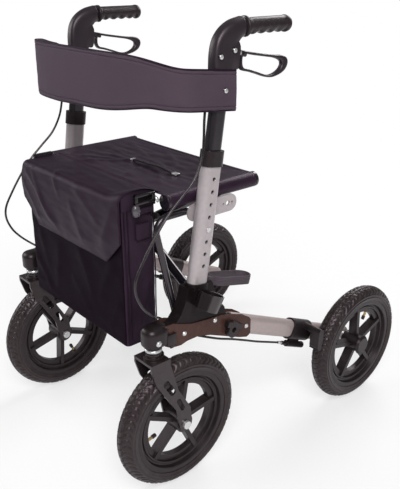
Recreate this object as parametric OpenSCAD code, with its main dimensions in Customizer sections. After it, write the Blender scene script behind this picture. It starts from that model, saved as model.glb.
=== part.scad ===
// All terrain rollator: two side frames joined by a folding cross, with four pneumatic wheels.
// +X is the user's left, -Y is the front, +Z is up; the origin is on the floor midway between the wheels.

/* [Stance] */
// Distance between the front and rear axles
wheelbase = 538; // [500:1:580]
// Distance between the two side frames, post to post
frame_track = 492; // [480:1:510]
// Distance from a side frame's middle out to the rear wheel's middle plane
rear_out = 51; // [50:0.5:60]
// Distance that each front wheel trails behind its stem
caster_trail = 57; // [45:1:65]

/* [Wheels] */
// Outer diameter of a tyre
wheel_d = 300; // [290:1:305]
// Width of a tyre
tyre_w = 46; // [40:1:50]
// Thickness of the tyre's casing
tyre_wall = 5; // [4:0.5:7]
// Radius at which the tyre seats on its rim
bead_r = 118; // [114:1:120]
// Inner radius of the rim's ring
rim_inner_r = 83; // [78:1:90]
// Width of the rim's ring
rim_w = 40; // [34:1:42]
// Number of spokes
spoke_n = 5; // [3:1:8]
// Width of a spoke
spoke_w = 10; // [8:0.5:14]
// Depth of a spoke along the axle
spoke_depth = 24; // [16:1:26]
// Turn of the left front wheel's spokes
left_turn = 25; // [0:1:72]
// Turn of the right front wheel's spokes
right_turn = 67; // [0:1:72]
// Turn of the rear wheels' spokes
rear_turn = 39; // [0:1:72]
// Diameter of a hub
hub_d = 42; // [36:1:48]
// Diameter of a front axle
front_axle_d = 10; // [8:0.5:12]
// Diameter of a rear axle
rear_axle_d = 12; // [10:0.5:14]
// Diameter of a rear hub cap
hub_cap_d = 48; // [44:1:56]
// Height of a rear hub cap
hub_cap_h = 6; // [3:0.5:8]

/* [Fork] */
// Space between the fork's legs
fork_gap = 49; // [48:0.5:54]
// Thickness of a fork leg
fork_leg_t = 4.5; // [4:0.5:6]
// Length of the fork's bridge, front to rear
bridge_l = 47; // [44:1:52]
// Thickness of the fork's bridge
bridge_t = 6; // [5:0.5:8]
// Height of the bridge's top above the tyre's top
bridge_rise = 25; // [22:1:30]
// Radius of the leg's end round the axle
leg_end_r = 16; // [13:1:20]
// Diameter of the bearing cup under the caster head
cup_d = 42; // [38:1:44]
// Diameter of the fork's stem
stem_d = 16; // [12:0.5:18]
// Outer diameter of the caster head
head_d = 42; // [38:1:46]
// Height of the caster head
head_h = 50; // [44:1:54]
// Height of the caster head's slimmer neck
neck_h = 14; // [10:1:16]
// Diameter of the caster head's neck
neck_d = 30; // [26:1:34]

/* [Side frame] */
// Height of the post's foot above the floor
post_foot_z = 453; // [440:1:470]
// Distance from the caster stem back to the post's foot
post_setback = 113; // [108:1:118]
// Backward lean of the posts
post_lean = 8.75; // [7:0.25:10]
// Length of a post above its foot
post_l = 240; // [228:1:260]
// Length of a post inside the base housing
post_sink = 60; // [45:1:66]
// Depth of a post, front to rear
post_depth = 45; // [44:0.5:46]
// Width of a post, across the frame
post_w = 29; // [28:0.5:30]
// Wall of a post
post_wall = 3.5; // [3:0.1:3.7]
// Diameter of the height holes
height_hole_d = 8; // [6:0.5:8.5]
// Pitch of the height holes
height_pitch = 25; // [22:1:26]
// Number of height holes
height_n = 8; // [5:1:8]
// Height of the collar at the post's mouth
collar_h = 30; // [26:1:38]
// Wall of the collar outside the post
collar_wall = 2.5; // [2:0.1:3]
// Downward slope of the side rail to the rear axle
rail_slope = 24.5; // [24:0.25:25]
// Length of the side rail from the axle to its front end
rail_l = 438; // [425:1:442]
// Height of the side rail's section
rail_h = 44; // [42:0.5:46]
// Wall of the side rail
rail_wall = 2.5; // [2:0.1:4]
// Thickness of a rail plate
plate_t = 2.5; // [2:0.1:3]
// Height of the seat bracket plate
bracket_h = 36; // [30:1:40]
// Length of the seat bracket plate
bracket_l = 129; // [118:1:134]
// Thickness of the seat bracket plate
bracket_t = 4; // [3:0.5:5]
// Diameter of the accessory hole in the seat bracket plate
accessory_hole_d = 10; // [8:0.5:12]
// Diameter of the bag stay's bar
stay_d = 14; // [12:0.5:15]

/* [Places on the side frame] */
// Length of the base housing's outline
housing_l = 147; // [140:1:152]
// Height of the base housing's outline
housing_h = 118; // [112:1:122]
// Distance that the housing reaches forward of the post's foot
housing_lead = 78; // [74:1:82]
// Depth of the housing's underside below the post's foot
housing_drop = 110; // [106:1:114]
// Length of the rail plates' outline
plate_l = 236; // [228:1:242]
// Height of the rail plates' outline
plate_h = 122; // [116:1:126]
// Distance from the caster stem back to the rail plates
plate_back = 17; // [14:1:20]
// Depth of the rail plates below the housing's underside
plate_drop = 68; // [64:1:72]
// Height of the two upper rivets above the housing's underside
rivet_rise = 16; // [14:1:20]
// Distance from the caster stem back to the front rivet
front_rivet_back = 66; // [60:1:70]
// Distance from the post's foot back to the middle rivet
mid_rivet_back = 35; // [30:1:40]
// Distance of the rear rivet from the rail's front end
rail_rivet_in = 48; // [44:1:54]
// Distance that the seat bracket plate reaches forward of the post's foot
bracket_lead = 9; // [4:1:14]
// Depth of the seat bracket plate's middle below the cross's upper ends
bracket_drop = 13; // [10:1:16]
// Distance from the post's foot back to the accessory hole
hole_back = 96; // [90:1:102]
// Distance from the post's foot back to the seat rail's rest
rest_back = 68; // [62:1:74]
// Length of the seat rail's rest
rest_l = 20; // [16:1:24]
// Height of the seat rail's rest
rest_h = 8; // [6:0.5:10]
// Distance from the post's foot back to the middle of the cross
cross_back = 29; // [27:1:31]
// Thickness of the lugs that hold the cross
lug_t = 6; // [5:0.5:8]
// Distance that the seat rails reach forward of the post's foot
seat_lead = 51; // [46:1:54]
// Length of each bag stay's level run in front of its post
stay_lead = 50; // [48:1:52]
// Height of each bag stay's upper end above the floor
stay_top_z = 597; // [594:1:598]
// Height of each bag stay
stay_h = 226; // [222:1:230]
// Radius of each bag stay's bend
stay_bend_r = 28; // [26:0.5:30]
// Angle of each bag stay's leg from the vertical
stay_angle = 13; // [12:0.5:14]
// Diameter of the brake cable's adjuster barrel
barrel_d = 16; // [14:0.5:18]
// Length of the cable guide
guide_l = 44; // [38:1:46]
// Height of the cable guide
guide_h = 36; // [32:1:38]
// Thickness of the cable guide
guide_t = 12; // [9:0.5:13]
// Distance from the post's foot back to the cable guide
guide_back = 79; // [77:1:83]
// Depth of the cable guide below the housing's underside
guide_drop = 18; // [14:1:20]

/* [Handle] */
// Depth of the handle tube, front to rear
tube_depth = 37; // [36:0.5:37.2]
// Width of the handle tube
tube_w = 21; // [20:0.5:21.2]
// Wall of the handle tube
tube_wall = 2; // [1.5:0.1:2.5]
// Distance along the post from its foot to the start of the handle's bend
bend_s = 448; // [440:1:456]
// Radius of the handle's bend
bend_r = 46; // [42:1:50]
// Length of the straight tube below the bend
tube_l = 370; // [350:1:376]
// Diameter of the bar inside the grip
grip_bar_d = 24; // [22:0.5:25]
// Diameter of the grip
grip_d = 31; // [29:0.5:33]
// Length of the grip
grip_l = 121; // [115:1:130]
// Diameter of the grip's flange
grip_flange_d = 38; // [37:0.5:42]
// Height of the grip's rings
grip_ring_h = 1; // [0.5:0.1:1.5]
// Wall of the elbow's moulding beside the tube
moulding_wall = 3.5; // [3:0.5:5]
// Distance that the moulding reaches forward of the tube
moulding_front = 11; // [8:1:13]
// Depth of the moulding below the handle's bend
moulding_drop = 31; // [24:1:31]
// Height of the moulding's straight part above the start of the bend
moulding_rise = 10; // [8:1:14]
// Rounding of the moulding's corners
moulding_round = 11; // [8:1:12]
// Distance that the moulding's bend lies forward of the tube's
moulding_shift = 7; // [4:1:9]

/* [Brakes] */
// Reach of the brake lever from its pivot to its tip
lever_l = 147; // [135:1:152]
// Thickness of the brake lever
lever_t = 13; // [10:0.5:14]
// Thickness of the lever loop's bars
lever_bar = 6.5; // [5:0.5:8]
// Diameter of the lever's pivot pin
lever_pin_d = 6; // [5:0.5:7]
// Diameter of the brake cable
cable_d = 5; // [4:0.5:5.5]
// Distance along the rail from the axle to the brake carrier
carrier_s = 146; // [142:1:150]
// Length of the brake carrier along the rail
carrier_l = 70; // [60:1:74]
// Wall of the brake carrier
carrier_wall = 4; // [3:0.5:5]
// Diameter of the brake arm's pivot
arm_pin_d = 8; // [6:0.5:9]
// Width of the brake arm and its shoe
arm_w = 26; // [20:1:28]
// Gap between the shoe and the tyre when the brake is off
shoe_gap = 3; // [3:0.1:4]
// Length of the brake shoe
shoe_l = 21; // [19:1:24]
// Thickness of the brake shoe
shoe_t = 12; // [9:0.5:13]

/* [Folding cross and seat] */
// Distance from a side frame's middle in to the cross's lower pivot
cross_in = 46; // [44:0.5:50]
// Height of the lower pivots above the floor
cross_z = 379; // [376:1:382]
// Height of the cross, lower pivots to upper ends
cross_rise = 228; // [222:1:232]
// Diameter of a brace
brace_d = 20; // [18:0.5:21]
// Wall of a brace
brace_wall = 2.5; // [2:0.1:4]
// Diameter of the pivot pins of the cross
cross_pin_d = 12; // [10:0.5:13]
// Outer diameter of a brace's lower sleeve
sleeve_d = 24; // [20:0.5:26]
// Distance between the planes of the two braces
brace_pitch = 24; // [23:0.5:26]
// Diameter of a seat rail
seat_rail_d = 25; // [24:0.5:25.5]
// Length of a seat rail
seat_rail_l = 238; // [228:1:242]
// Sag of the seat cloth at its middle
seat_sag = 1; // [0:0.5:6]
// Thickness of the seat cloth
seat_t = 4; // [3:0.5:5]
// Length of the pull strap across the seat
strap_l = 164; // [140:1:190]
// Width of the pull strap
strap_w = 9; // [8:1:14]
// Thickness of the pull strap
strap_t = 2.5; // [2:0.1:4]
// Rise of the pull strap's middle above its ends
strap_arch = 5; // [2:0.5:10]
// Distance of the pull strap's middle left of the seat's middle
strap_x = 48; // [30:1:60]
// Distance from the post's foot back to the pull strap
strap_back = 50; // [40:1:62]
// Length of a seat rail's end cap
cap_l = 6; // [4:0.5:8]

/* [Backrest band] */
// Thickness of the band
band_t = 5; // [4:0.5:6]
// Height of the band at its ends
band_end_h = 73; // [64:1:74]
// Rise of the top edge from the ends to the wide part
band_rise = 14; // [8:1:18]
// Drop of the lower edge from the ends to the wide part
band_drop = 28; // [15:1:32]
// Distance that the band bows forward of its straight ends
band_bow = 87; // [75:1:95]
// Distance along the post from its foot to the band's middle
band_s = 378; // [374:1:380]
// Distance that the band's ends reach back of the post's foot
band_back = 85; // [78:1:90]
// Distance from the post's foot back to the start of the band's curve
band_turn = 8; // [4:1:14]

/* [Bag] */
// Distance from a side frame's middle in to the bag's side
bag_in = 58; // [56:0.5:70]
// Height of the bag
bag_h = 312; // [290:1:314]
// Depth of the bag, front to rear
bag_depth = 82; // [70:1:84]
// Rounding of the bag's edges
bag_round = 14; // [10:1:20]
// Thickness of the bag's flap
flap_t = 4; // [3:0.5:6]
// Height of the flap on the front of the bag
flap_drop = 128; // [100:1:150]
// Height of a release buckle
buckle_h = 44; // [36:1:50]
// Width of a release buckle
buckle_w = 34; // [28:1:38]
// Thickness of a release buckle
buckle_t = 9; // [7:0.5:11]
// Distance between the bag and the seat rails' front ends
bag_gap = 3.5; // [2:0.5:5]

/* [Stick holder] */
// Length of the holder's loop, front to rear
loop_l = 112; // [100:1:120]
// Width of the holder's loop
loop_w = 42; // [38:1:48]
// Height of the holder's webbing
loop_h = 16; // [14:1:22]
// Thickness of the holder's webbing
loop_t = 3.5; // [3:0.5:5]
// Diameter of the cup at its mouth
cup_top_d = 54; // [50:0.5:56]
// Diameter of the cup at its foot
cup_foot_d = 48; // [44:0.5:50]
// Height of the cup
cup_h = 34; // [32:1:38]
// Wall of the cup
cup_wall = 2.5; // [2:0.1:3]
// Thickness of the cup's foot on the housing
cup_pad = 4; // [3:0.5:6]
// Distance from the cup's foot forward to the post's foot
cup_lead = 15; // [12:1:18]
// Height of the cup's foot above the housing's underside
cup_rise = 71; // [68:1:74]
// Distance from the post's foot back to the loop
loop_back = 34; // [30:1:38]
// Depth of the loop's root below the post's foot
loop_drop = 5; // [2:0.5:8]
// Length of the loop's root
root_l = 12; // [10:1:16]

/* [Fasteners] */
// Diameter of a rivet's shank
rivet_d = 6; // [5:0.5:7]
// Diameter of a rivet's head
rivet_head_d = 11; // [9:0.5:12]
// Height of a rivet's head
rivet_head_h = 2.5; // [2:0.1:3]
// Height of a bolt's head or nut
bolt_head_h = 6; // [4:0.5:7]

/* [Fits] */
// Radial clearance of a pin that turns in its bore
run_fit = 0.05; // [0.02:0.01:0.1]
// Gap between pieces that move past each other or lie loose
gap = 0.3; // [0.25:0.05:0.4]
// Overrun of a cut past the face that it opens
cut = 1; // [0.5:0.5:2]

/* [Hidden] */
$fn = 48;
left = 1;
right = -1;

frame_x = frame_track / 2;
rear_x = frame_x + rear_out;
front_y = -wheelbase / 2;
rear_y = wheelbase / 2;
axle_z = wheel_d / 2;
stem_y = front_y - caster_trail;
post_y = stem_y + post_setback;
frame_t = post_w;
plate_out = frame_t / 2 + plate_t;

bridge_top = wheel_d + bridge_rise;
head_z = bridge_top + 2 * bridge_t;
leg_x = fork_gap / 2;
fork_out = leg_x + fork_leg_t;
hub_half = leg_x - gap;
bridge_front = -0.57 * bridge_l;
// Section of a rim's ring from its inner edge to the well under the tyre, in shares of its depth and half width
rim_shares = [
    [0, 0.36], [0.31, 0.38], [0.36, 0.66], [0.46, 0.66], [0.5, 0.52], [0.6, 0.58], [0.67, 0.95], [0.74, 1],
    [1, 1], [1, 0.82], [0.55, 0.25]
];
// Share of the ring's depth that the spokes reach into
ring_share = 0.34;
slot_shares = [[0.14, 0.31, 0.42, 0.46, 0.9], [0.68, 0.62, 0.86, 0.75, 0.65]];

hole_first = post_l - height_pitch / 2 - (height_n - 1) * height_pitch - collar_h / 2;
lock_hole = 3;
collar_lap = collar_h / 8;

tube_s = bend_s - tube_l;
bend_y = post_y + bend_s * sin(post_lean) + bend_r * cos(post_lean);
bend_z = post_foot_z + bend_s * cos(post_lean) - bend_r * sin(post_lean);
grip_z = bend_z + bend_r;

lever_pin_v = tube_depth / 2 + lever_pin_d * 1.6;
lever_pin_s = bend_s - lever_pin_d / 6;
lever_y = post_y + lever_pin_s * sin(post_lean) + lever_pin_v * cos(post_lean);
lever_z = post_foot_z + lever_pin_s * cos(post_lean) - lever_pin_v * sin(post_lean);
lever_shares = [
    [0.11, -0.035], [0.42, -0.084], [0.77, -0.128], [0.94, -0.20], [0.92, -0.25], [0.62, -0.37], [0.43, -0.31],
    [0.28, -0.25], [0.095, -0.215]
];
lever_bar_shares = [1, 1, 1.5, 2.1, 1.5, 1, 1, 1.1, 1.1];

pin_s = carrier_s + carrier_l * 0.36;
pin_v = rail_h * 0.34;
arm_y = rear_y - pin_s * cos(rail_slope) + pin_v * sin(rail_slope);
arm_z = axle_z + pin_s * sin(rail_slope) + pin_v * cos(rail_slope);
shoe_angle = 18;

cross_x = frame_x - cross_in;
cross_span = 2 * cross_x;
seat_rail_x = cross_x + 0.5 * seat_rail_d;
seat_rail_z = cross_z + cross_rise + 0.64 * seat_rail_d;
seat_rail_front = post_y - seat_lead;
cloth_r = 0.64 * seat_rail_d;
cross_mid_y = post_y + cross_back;
plane_a = cross_mid_y - brace_pitch / 2;
plane_b = cross_mid_y + brace_pitch / 2;
sleeve_l = 2 * brace_pitch;
lug_w = 1.1 * sleeve_d;
cross_slope = atan2(cross_rise, cross_span);
cross_l = norm([cross_rise, cross_span]);

housing_z = post_foot_z - housing_drop;
housing_y = post_y - housing_lead;
housing_shares = [
    [0, 0.12], [0.06, 0], [0.98, 0], [1, 0.14], [0.96, 0.32], [0.84, 0.52], [0.72, 0.92],
    [0.30, 0.92], [0.26, 0.72], [0.17, 0.50], [0.08, 0.37], [0, 0.32]
];
plate_y = stem_y + plate_back;
plate_z = housing_z - plate_drop;
plate_shares = [
    [0, 0.60], [0.06, 0.53], [0.167, 0.50], [0.235, 0.53], [0.352, 0.53], [0.492, 0.452], [0.638, 0.326],
    [0.856, 0.135], [0.95, 0.075], [0.98, 0.09], [1, 0.13], [1, 0.40],
    [0.98, 0.455], [0.894, 0.569], [0.76, 0.67],
    [0.635, 0.74], [0.452, 0.775], [0.294, 0.81], [0.19, 0.88], [0.097, 0.95], [0, 0.96]
];
rail_rivet_s = rail_l - rail_rivet_in;
rivet_places = [
    [stem_y + front_rivet_back, housing_z + rivet_rise], [post_y + mid_rivet_back, housing_z + rivet_rise],
    [rear_y - rail_rivet_s * cos(rail_slope), axle_z + rail_rivet_s * sin(rail_slope)]
];

bag_w = frame_track - 2 * bag_in;
stay_x = frame_x - post_w / 2 - bracket_t - stay_d / 2 - gap;

band_x = frame_x + tube_w / 2 + gap;
band_mid_y = post_y + band_s * sin(post_lean);
band_mid_z = post_foot_z + band_s * cos(post_lean);
band_end_y = post_y + band_back;
band_turn_y = post_y + band_turn;
band_power = 3.5;
band_slope = 0.1;
// Shares of the band's half length: its wide part's slide to the right, its taper and its reach at each edge
band_slide_share = 0.375;
band_taper_share = 0.46;
band_top_share = 0.975;
band_low_share = 0.725;
band_end_share = 0.2;
band_n = 24;

bag_z = bridge_top - bridge_t / 2;
bag_rear = seat_rail_front - bag_gap;
bag_front = bag_rear - bag_depth;
flap_top_z = bag_z + bag_h + gap;

cup_y = post_y - cup_lead;
cup_z = housing_z + cup_rise;
loop_y = post_y + loop_back;
loop_z = post_foot_z - loop_drop;
loop_tilt = -16.5;
cup_lean = 25;

// Route of the brake cable beside the left frame's middle, from the lever bracket to the rail's adjuster
cable_route = [
    [5, -173, 868], [5, -186, 848], [5, -192, 820], [6, -198, 780], [10, -203, 744], [14, -211, 708],
    [16, -232, 672], [16, -264, 644], [16, -296, 616], [16, -324, 584], [16, -350, 548], [16, -370, 514],
    [16, -373, 486], [16, -362, 456], [14, -344, 432], [4, -324, 413], [-14, -308, 401], [-22, -290, 388],
    [-23, -268, 370], [-23, -246, 352], [-22, -226, 336], [-14, -206, 322], [-3, -182, 312], [0, -150, 297],
    [0, -112, 281], [0, -73, 263], [0, -32, 243.5], [0, 10, 225.5], [0, 51, 208]
];

function smooth(t) = t * t * (3 - 2 * t);
function clip(t) = min(1, max(0, t));
function unit(v) = v / norm(v);

module at_side(side) {
    if (side < 0) mirror([1, 0, 0]) children();
    else children();
}

module stadium(l, w) {
    square([w, l - w], center = true);
    for (e = [-1, 1]) translate([0, e * (l - w) / 2]) circle(d = w);
}

// Flat bar with round ends from p to q, in the plane
module bar(p, q, w) {
    d = q - p;
    translate(p) rotate(atan2(d[1], d[0])) {
        translate([0, -w / 2]) square([norm(d), w]);
        circle(d = w);
        translate([norm(d), 0]) circle(d = w);
    }
}

// Draws in the Y-Z plane and extrudes across X, centred on the frame
module across(t) {
    rotate([90, 0, 90]) translate([0, 0, -t / 2]) linear_extrude(t) children();
}

// Cylinder along X, centred on x
module cross_pin(x, y, z, d, l) {
    translate([x - l / 2, y, z]) rotate([0, 90, 0]) cylinder(d = d, h = l);
}

module on_post() {
    translate([frame_x, post_y, post_foot_z]) rotate([-post_lean, 0, 0]) children();
}

module on_rail() {
    translate([frame_x, rear_y, axle_z]) rotate([90 - rail_slope, 0, 0]) children();
}

module on_wheel(x, y) {
    translate([x, y, axle_z]) rotate([0, 90, 0]) children();
}

// Side frame

module post(side) {
    color("silver") at_side(side) on_post() difference() {
        translate([0, 0, -post_sink]) linear_extrude(post_sink + post_l) difference() {
            stadium(post_depth, post_w);
            stadium(post_depth - 2 * post_wall, post_w - 2 * post_wall);
        }
        for (i = [0 : height_n - 1])
            translate([0, 0, hole_first + i * height_pitch]) rotate([0, 90, 0])
                cylinder(d = height_hole_d, h = post_w);
    }
}

module collar(side) {
    color("#17171a") at_side(side) on_post() difference() {
        translate([0, 0, post_l - collar_lap]) linear_extrude(collar_h)
            stadium(post_depth + 2 * collar_wall, post_w + 2 * collar_wall);
        translate([0, 0, post_l - collar_lap - cut]) linear_extrude(collar_lap + cut)
            stadium(post_depth, post_w);
        translate([0, 0, post_l - cut]) linear_extrude(collar_h + 2 * cut)
            stadium(tube_depth + 2 * gap, tube_w + 2 * gap);
    }
}

module rivet_holes() {
    for (p = rivet_places) cross_pin(frame_x, p[0], p[1], rivet_d, 3 * frame_t);
}

module rail(side) {
    color("silver") at_side(side) difference() {
        on_rail() difference() {
            translate([0, 0, -rail_h / 2]) linear_extrude(rail_l + rail_h / 2) stadium(rail_h, frame_t);
            translate([0, 0, rail_h / 2]) linear_extrude(rail_l)
                stadium(rail_h - 2 * rail_wall, frame_t - 2 * rail_wall);
        }
        cross_pin(frame_x, rear_y, axle_z, rear_axle_d, 2 * frame_t);
        rivet_holes();
    }
}

module rail_plates(side) {
    color("#2e2523") at_side(side) difference() {
        for (e = [-1, 1])
            translate([frame_x + e * (frame_t + plate_t) / 2, plate_y, plate_z]) across(plate_t)
                polygon([for (p = plate_shares) [p[0] * plate_l, p[1] * plate_h]]);
        rivet_holes();
    }
}

module lug_plate(y) {
    translate([0, y + lug_t / 2, 0]) rotate([90, 0, 0]) linear_extrude(lug_t)
        bar([cross_x, cross_z], [frame_x, cross_z], lug_w);
}

module boss() {
    on_post() translate([0, 0, -post_sink]) linear_extrude(post_sink)
        stadium(post_depth + 3 * collar_wall, post_w + 2.4 * collar_wall);
}

module housing(side) {
    color("#1a1a1c") at_side(side) difference() {
        union() {
            translate([frame_x, housing_y, housing_z]) across(frame_t)
                polygon([for (p = housing_shares) [p[0] * housing_l, p[1] * housing_h]]);
            boss();
            for (e = [-1, 1]) lug_plate(cross_mid_y + e * (sleeve_l / 2 + lug_t / 2 + gap));
        }
        on_post() translate([0, 0, -post_sink]) linear_extrude(post_sink + post_l) stadium(post_depth, post_w);
        translate([cross_x, 0, cross_z]) rotate([90, 0, 0])
            cylinder(d = cross_pin_d, h = 4 * frame_track, center = true);
        translate([frame_x + frame_t / 2 + plate_t / 2, plate_y, plate_z]) across(plate_t)
            polygon([for (p = plate_shares) [p[0] * plate_l, p[1] * plate_h]]);
        translate([frame_x - frame_t / 2 - plate_t / 2, plate_y, plate_z]) across(plate_t)
            polygon([for (p = plate_shares) [p[0] * plate_l, p[1] * plate_h]]);
        rivet_holes();
    }
}

module caster_head(side) {
    arm_l = housing_y - stem_y - gap;
    color("#1a1a1c") at_side(side) translate([frame_x, stem_y, head_z + gap]) difference() {
        union() {
            cylinder(d = neck_d, h = head_h);
            translate([0, 0, neck_h]) cylinder(d = head_d, h = head_h - neck_h);
            translate([-frame_t / 2, 0, neck_h]) cube([frame_t, arm_l, head_h - neck_h]);
        }
        translate([0, 0, -cut]) cylinder(d = stem_d + 2 * run_fit, h = head_h + 2 * cut);
        translate([0, 0, head_h - bolt_head_h]) cylinder(d = 2 * stem_d, h = bolt_head_h + cut);
        for (e = [-1, 1]) translate([e * (frame_t + plate_t) / 2, plate_y - stem_y, plate_z - head_z - gap])
            across(plate_t) polygon([for (p = plate_shares) [p[0] * plate_l, p[1] * plate_h]]);
    }
}

module rivet(y, z) {
    cross_pin(frame_x, y, z, rivet_d, 2 * plate_out);
    for (e = [-1, 1]) translate([frame_x + e * plate_out, y, z]) rotate([0, e * 90, 0])
        cylinder(d1 = rivet_head_d, d2 = rivet_d, h = rivet_head_h);
}

module frame_fasteners(side) {
    color("gainsboro") at_side(side) {
        for (p = rivet_places) rivet(p[0], p[1]);
        translate([cross_x, cross_mid_y, cross_z]) rotate([90, 0, 0])
            cylinder(d = cross_pin_d, h = sleeve_l + 4 * lug_t, center = true);
        on_post() translate([0, 0, hole_first + lock_hole * height_pitch]) rotate([0, 90, 0]) {
            translate([0, 0, post_w / 2 - post_wall]) cylinder(d = height_hole_d, h = post_wall);
            translate([0, 0, post_w / 2]) cylinder(d = 1.3 * height_hole_d, h = rivet_head_h);
        }
        translate([frame_x - frame_t, rear_y, axle_z]) rotate([0, 90, 0])
            cylinder(d = rear_axle_d, h = rear_x - frame_x + frame_t + hub_half);
        translate([frame_x - frame_t, rear_y, axle_z]) rotate([0, 90, 0])
            cylinder(d = 2 * rear_axle_d, h = frame_t / 2);
        translate([frame_x + frame_t / 2, rear_y, axle_z]) rotate([0, 90, 0])
            cylinder(d = 2 * rear_axle_d, h = rear_x - frame_x - frame_t / 2 - hub_half - gap);
    }
}

module seat_bracket(side) {
    plate_mid_y = post_y - bracket_lead + bracket_l / 2;
    plate_mid_z = cross_z + cross_rise - bracket_drop;
    hole_y = post_y + hole_back;
    rest_z = seat_rail_z - cloth_r - gap - rest_h;
    inner_x = frame_x - post_w / 2 - bracket_t;
    color("silver") at_side(side) difference() {
        union() {
            translate([inner_x + bracket_t / 2, plate_mid_y, plate_mid_z]) across(bracket_t)
                rotate(90) stadium(bracket_l, bracket_h);
            translate([seat_rail_x - cloth_r / 2, post_y + rest_back, rest_z])
                cube([inner_x + bracket_t - seat_rail_x + cloth_r / 2, rest_l, rest_h]);
        }
        cross_pin(inner_x, hole_y, plate_mid_z, accessory_hole_d, 4 * bracket_t);
        for (e = [-1, 1])
            cross_pin(inner_x, hole_y + 1.2 * e * accessory_hole_d, plate_mid_z, rivet_d * 0.7, 4 * bracket_t);
    }
}

module bag_stay(side) {
    run = stay_lead - 0.2 * stay_d;
    lap = 0.15 * stay_d;
    leg = (stay_h - stay_bend_r * (1 + sin(stay_angle))) / cos(stay_angle);
    bracket_boss = stay_d / 2 + gap;
    foot_boss = frame_x - plate_out - stay_x;
    color("#17171a") at_side(side)
        translate([stay_x, post_y - stay_lead, stay_top_z - stay_bend_r]) rotate([90, 0, -90]) {
            translate([-run, stay_bend_r, 0]) rotate([0, 90, 0]) cylinder(d = stay_d, h = run + lap);
            translate([-run, stay_bend_r, -bracket_boss]) cylinder(d = 0.9 * stay_d, h = bracket_boss);
            rotate([0, 0, -stay_angle]) {
                rotate_extrude(angle = 90 + stay_angle) translate([stay_bend_r, 0]) circle(d = 0.94 * stay_d);
                translate([stay_bend_r, lap, 0]) rotate([90, 0, 0]) cylinder(d = stay_d, h = leg + lap);
                translate([stay_bend_r, -leg, -foot_boss]) cylinder(d = 1.2 * stay_d, h = foot_boss);
            }
        }
}

module brake_carrier(side) {
    barrel_v = rail_h / 2 + carrier_wall + 0.75 * barrel_d;
    pin_l = rear_x - frame_x + arm_w / 2;
    color("#1a1a1c") at_side(side) on_rail() difference() {
        union() {
            translate([0, 0, carrier_s]) linear_extrude(carrier_l)
                stadium(rail_h + 2 * carrier_wall, frame_t + 2 * carrier_wall);
            translate([0, -barrel_v, carrier_s - carrier_wall]) cylinder(d = barrel_d, h = carrier_l * 0.9);
            translate([0, -barrel_v, carrier_s]) cylinder(d = 0.6 * barrel_d, h = carrier_l * 1.08);
            translate([0, -barrel_v / 2, carrier_s + carrier_l / 4])
                translate([-barrel_d / 4, -barrel_v / 2, 0]) cube([barrel_d / 2, barrel_v / 2, carrier_l / 2]);
            translate([frame_t / 2, pin_v, pin_s]) rotate([0, 90, 0])
                cylinder(d = arm_pin_d, h = pin_l - frame_t / 2);
            translate([frame_t / 2, pin_v, pin_s]) rotate([0, 90, 0])
                cylinder(d = 2.2 * arm_pin_d, h = rear_x - frame_x - arm_w / 2 - frame_t / 2 - gap);
        }
        linear_extrude(rail_l) stadium(rail_h, frame_t);
    }
}

module cable_guide(side) {
    guide_y = post_y + guide_back;
    guide_z = housing_z - guide_drop;
    guide_x = frame_x + plate_out + guide_t / 2;
    color("#17171a") at_side(side) translate([guide_x, guide_y, guide_z]) difference() {
        across(guide_t) union() {
            rotate(-rail_slope) stadium(guide_h, guide_h * 0.8);
            rotate(-rail_slope) translate([0, guide_h / 4]) square([guide_l, guide_h / 3], center = true);
        }
        cross_pin(0, 0, 0, guide_h / 3, 2 * guide_t);
    }
}

// One closed tube of eight sides along a list of points
module swept_tube(pts, d) {
    n = len(pts);
    sides = 8;
    dirs = [for (i = [0 : n - 1]) unit(pts[min(n - 1, i + 1)] - pts[max(0, i - 1)])];
    rings = [
        for (i = [0 : n - 1])
            let (a = unit(cross(dirs[i], [0.94, 0.2, 0.27])), b = cross(dirs[i], a))
                for (k = [0 : sides - 1]) pts[i] + d / 2 * (cos(360 * k / sides) * a + sin(360 * k / sides) * b)
    ];
    walls = [
        for (i = [0 : n - 2])
            for (k = [0 : sides - 1])
                let (p = i * sides + k, q = i * sides + (k + 1) % sides)
                    for (f = [[p, q + sides, q], [p, p + sides, q + sides]]) f
    ];
    start = [for (k = [1 : sides - 2]) [0, k, k + 1]];
    stop = [for (k = [1 : sides - 2]) let (o = (n - 1) * sides) [o, o + k + 1, o + k]];
    polyhedron(points = rings, faces = concat(walls, start, stop));
}

// Points between the route's own, on a smooth curve through them
function curved(p, steps) = [
    for (i = [0 : len(p) - 2])
        for (j = [0 : steps - 1])
            let (
                t = j / steps,
                a = p[max(0, i - 1)],
                b = p[i],
                c = p[i + 1],
                d = p[min(len(p) - 1, i + 2)]
            )
                b + t / 2 * (c - a) + t * t / 2 * (2 * a - 5 * b + 4 * c - d)
                    + t * t * t / 2 * (3 * b - a - 3 * c + d),
    p[len(p) - 1]
];

module brake_cable(side) {
    color("#141416") at_side(side) translate([frame_x, 0, 0]) swept_tube(curved(cable_route, 2), cable_d);
}

// Handle

module tube_form(grow) {
    on_post() {
        translate([0, 0, tube_s]) linear_extrude(tube_l) stadium(tube_depth + 2 * grow, tube_w + 2 * grow);
        translate([0, bend_r, bend_s]) rotate([90, 0, -90]) rotate_extrude(angle = 90 - post_lean)
            translate([bend_r, 0]) rotate(90) stadium(tube_depth + 2 * grow, tube_w + 2 * grow);
    }
}

module handle_tube(side) {
    color("#101012") at_side(side) difference() {
        union() {
            tube_form(0);
            translate([frame_x, bend_y - moulding_shift / 2, grip_z]) rotate([-90, 0, 0])
                cylinder(d = grip_bar_d, h = grip_l - grip_d / 4 + moulding_shift / 2);
        }
        on_post() translate([0, 0, tube_s - cut]) linear_extrude(tube_l - tube_depth)
            stadium(tube_depth - 2 * tube_wall, tube_w - 2 * tube_wall);
    }
}

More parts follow.
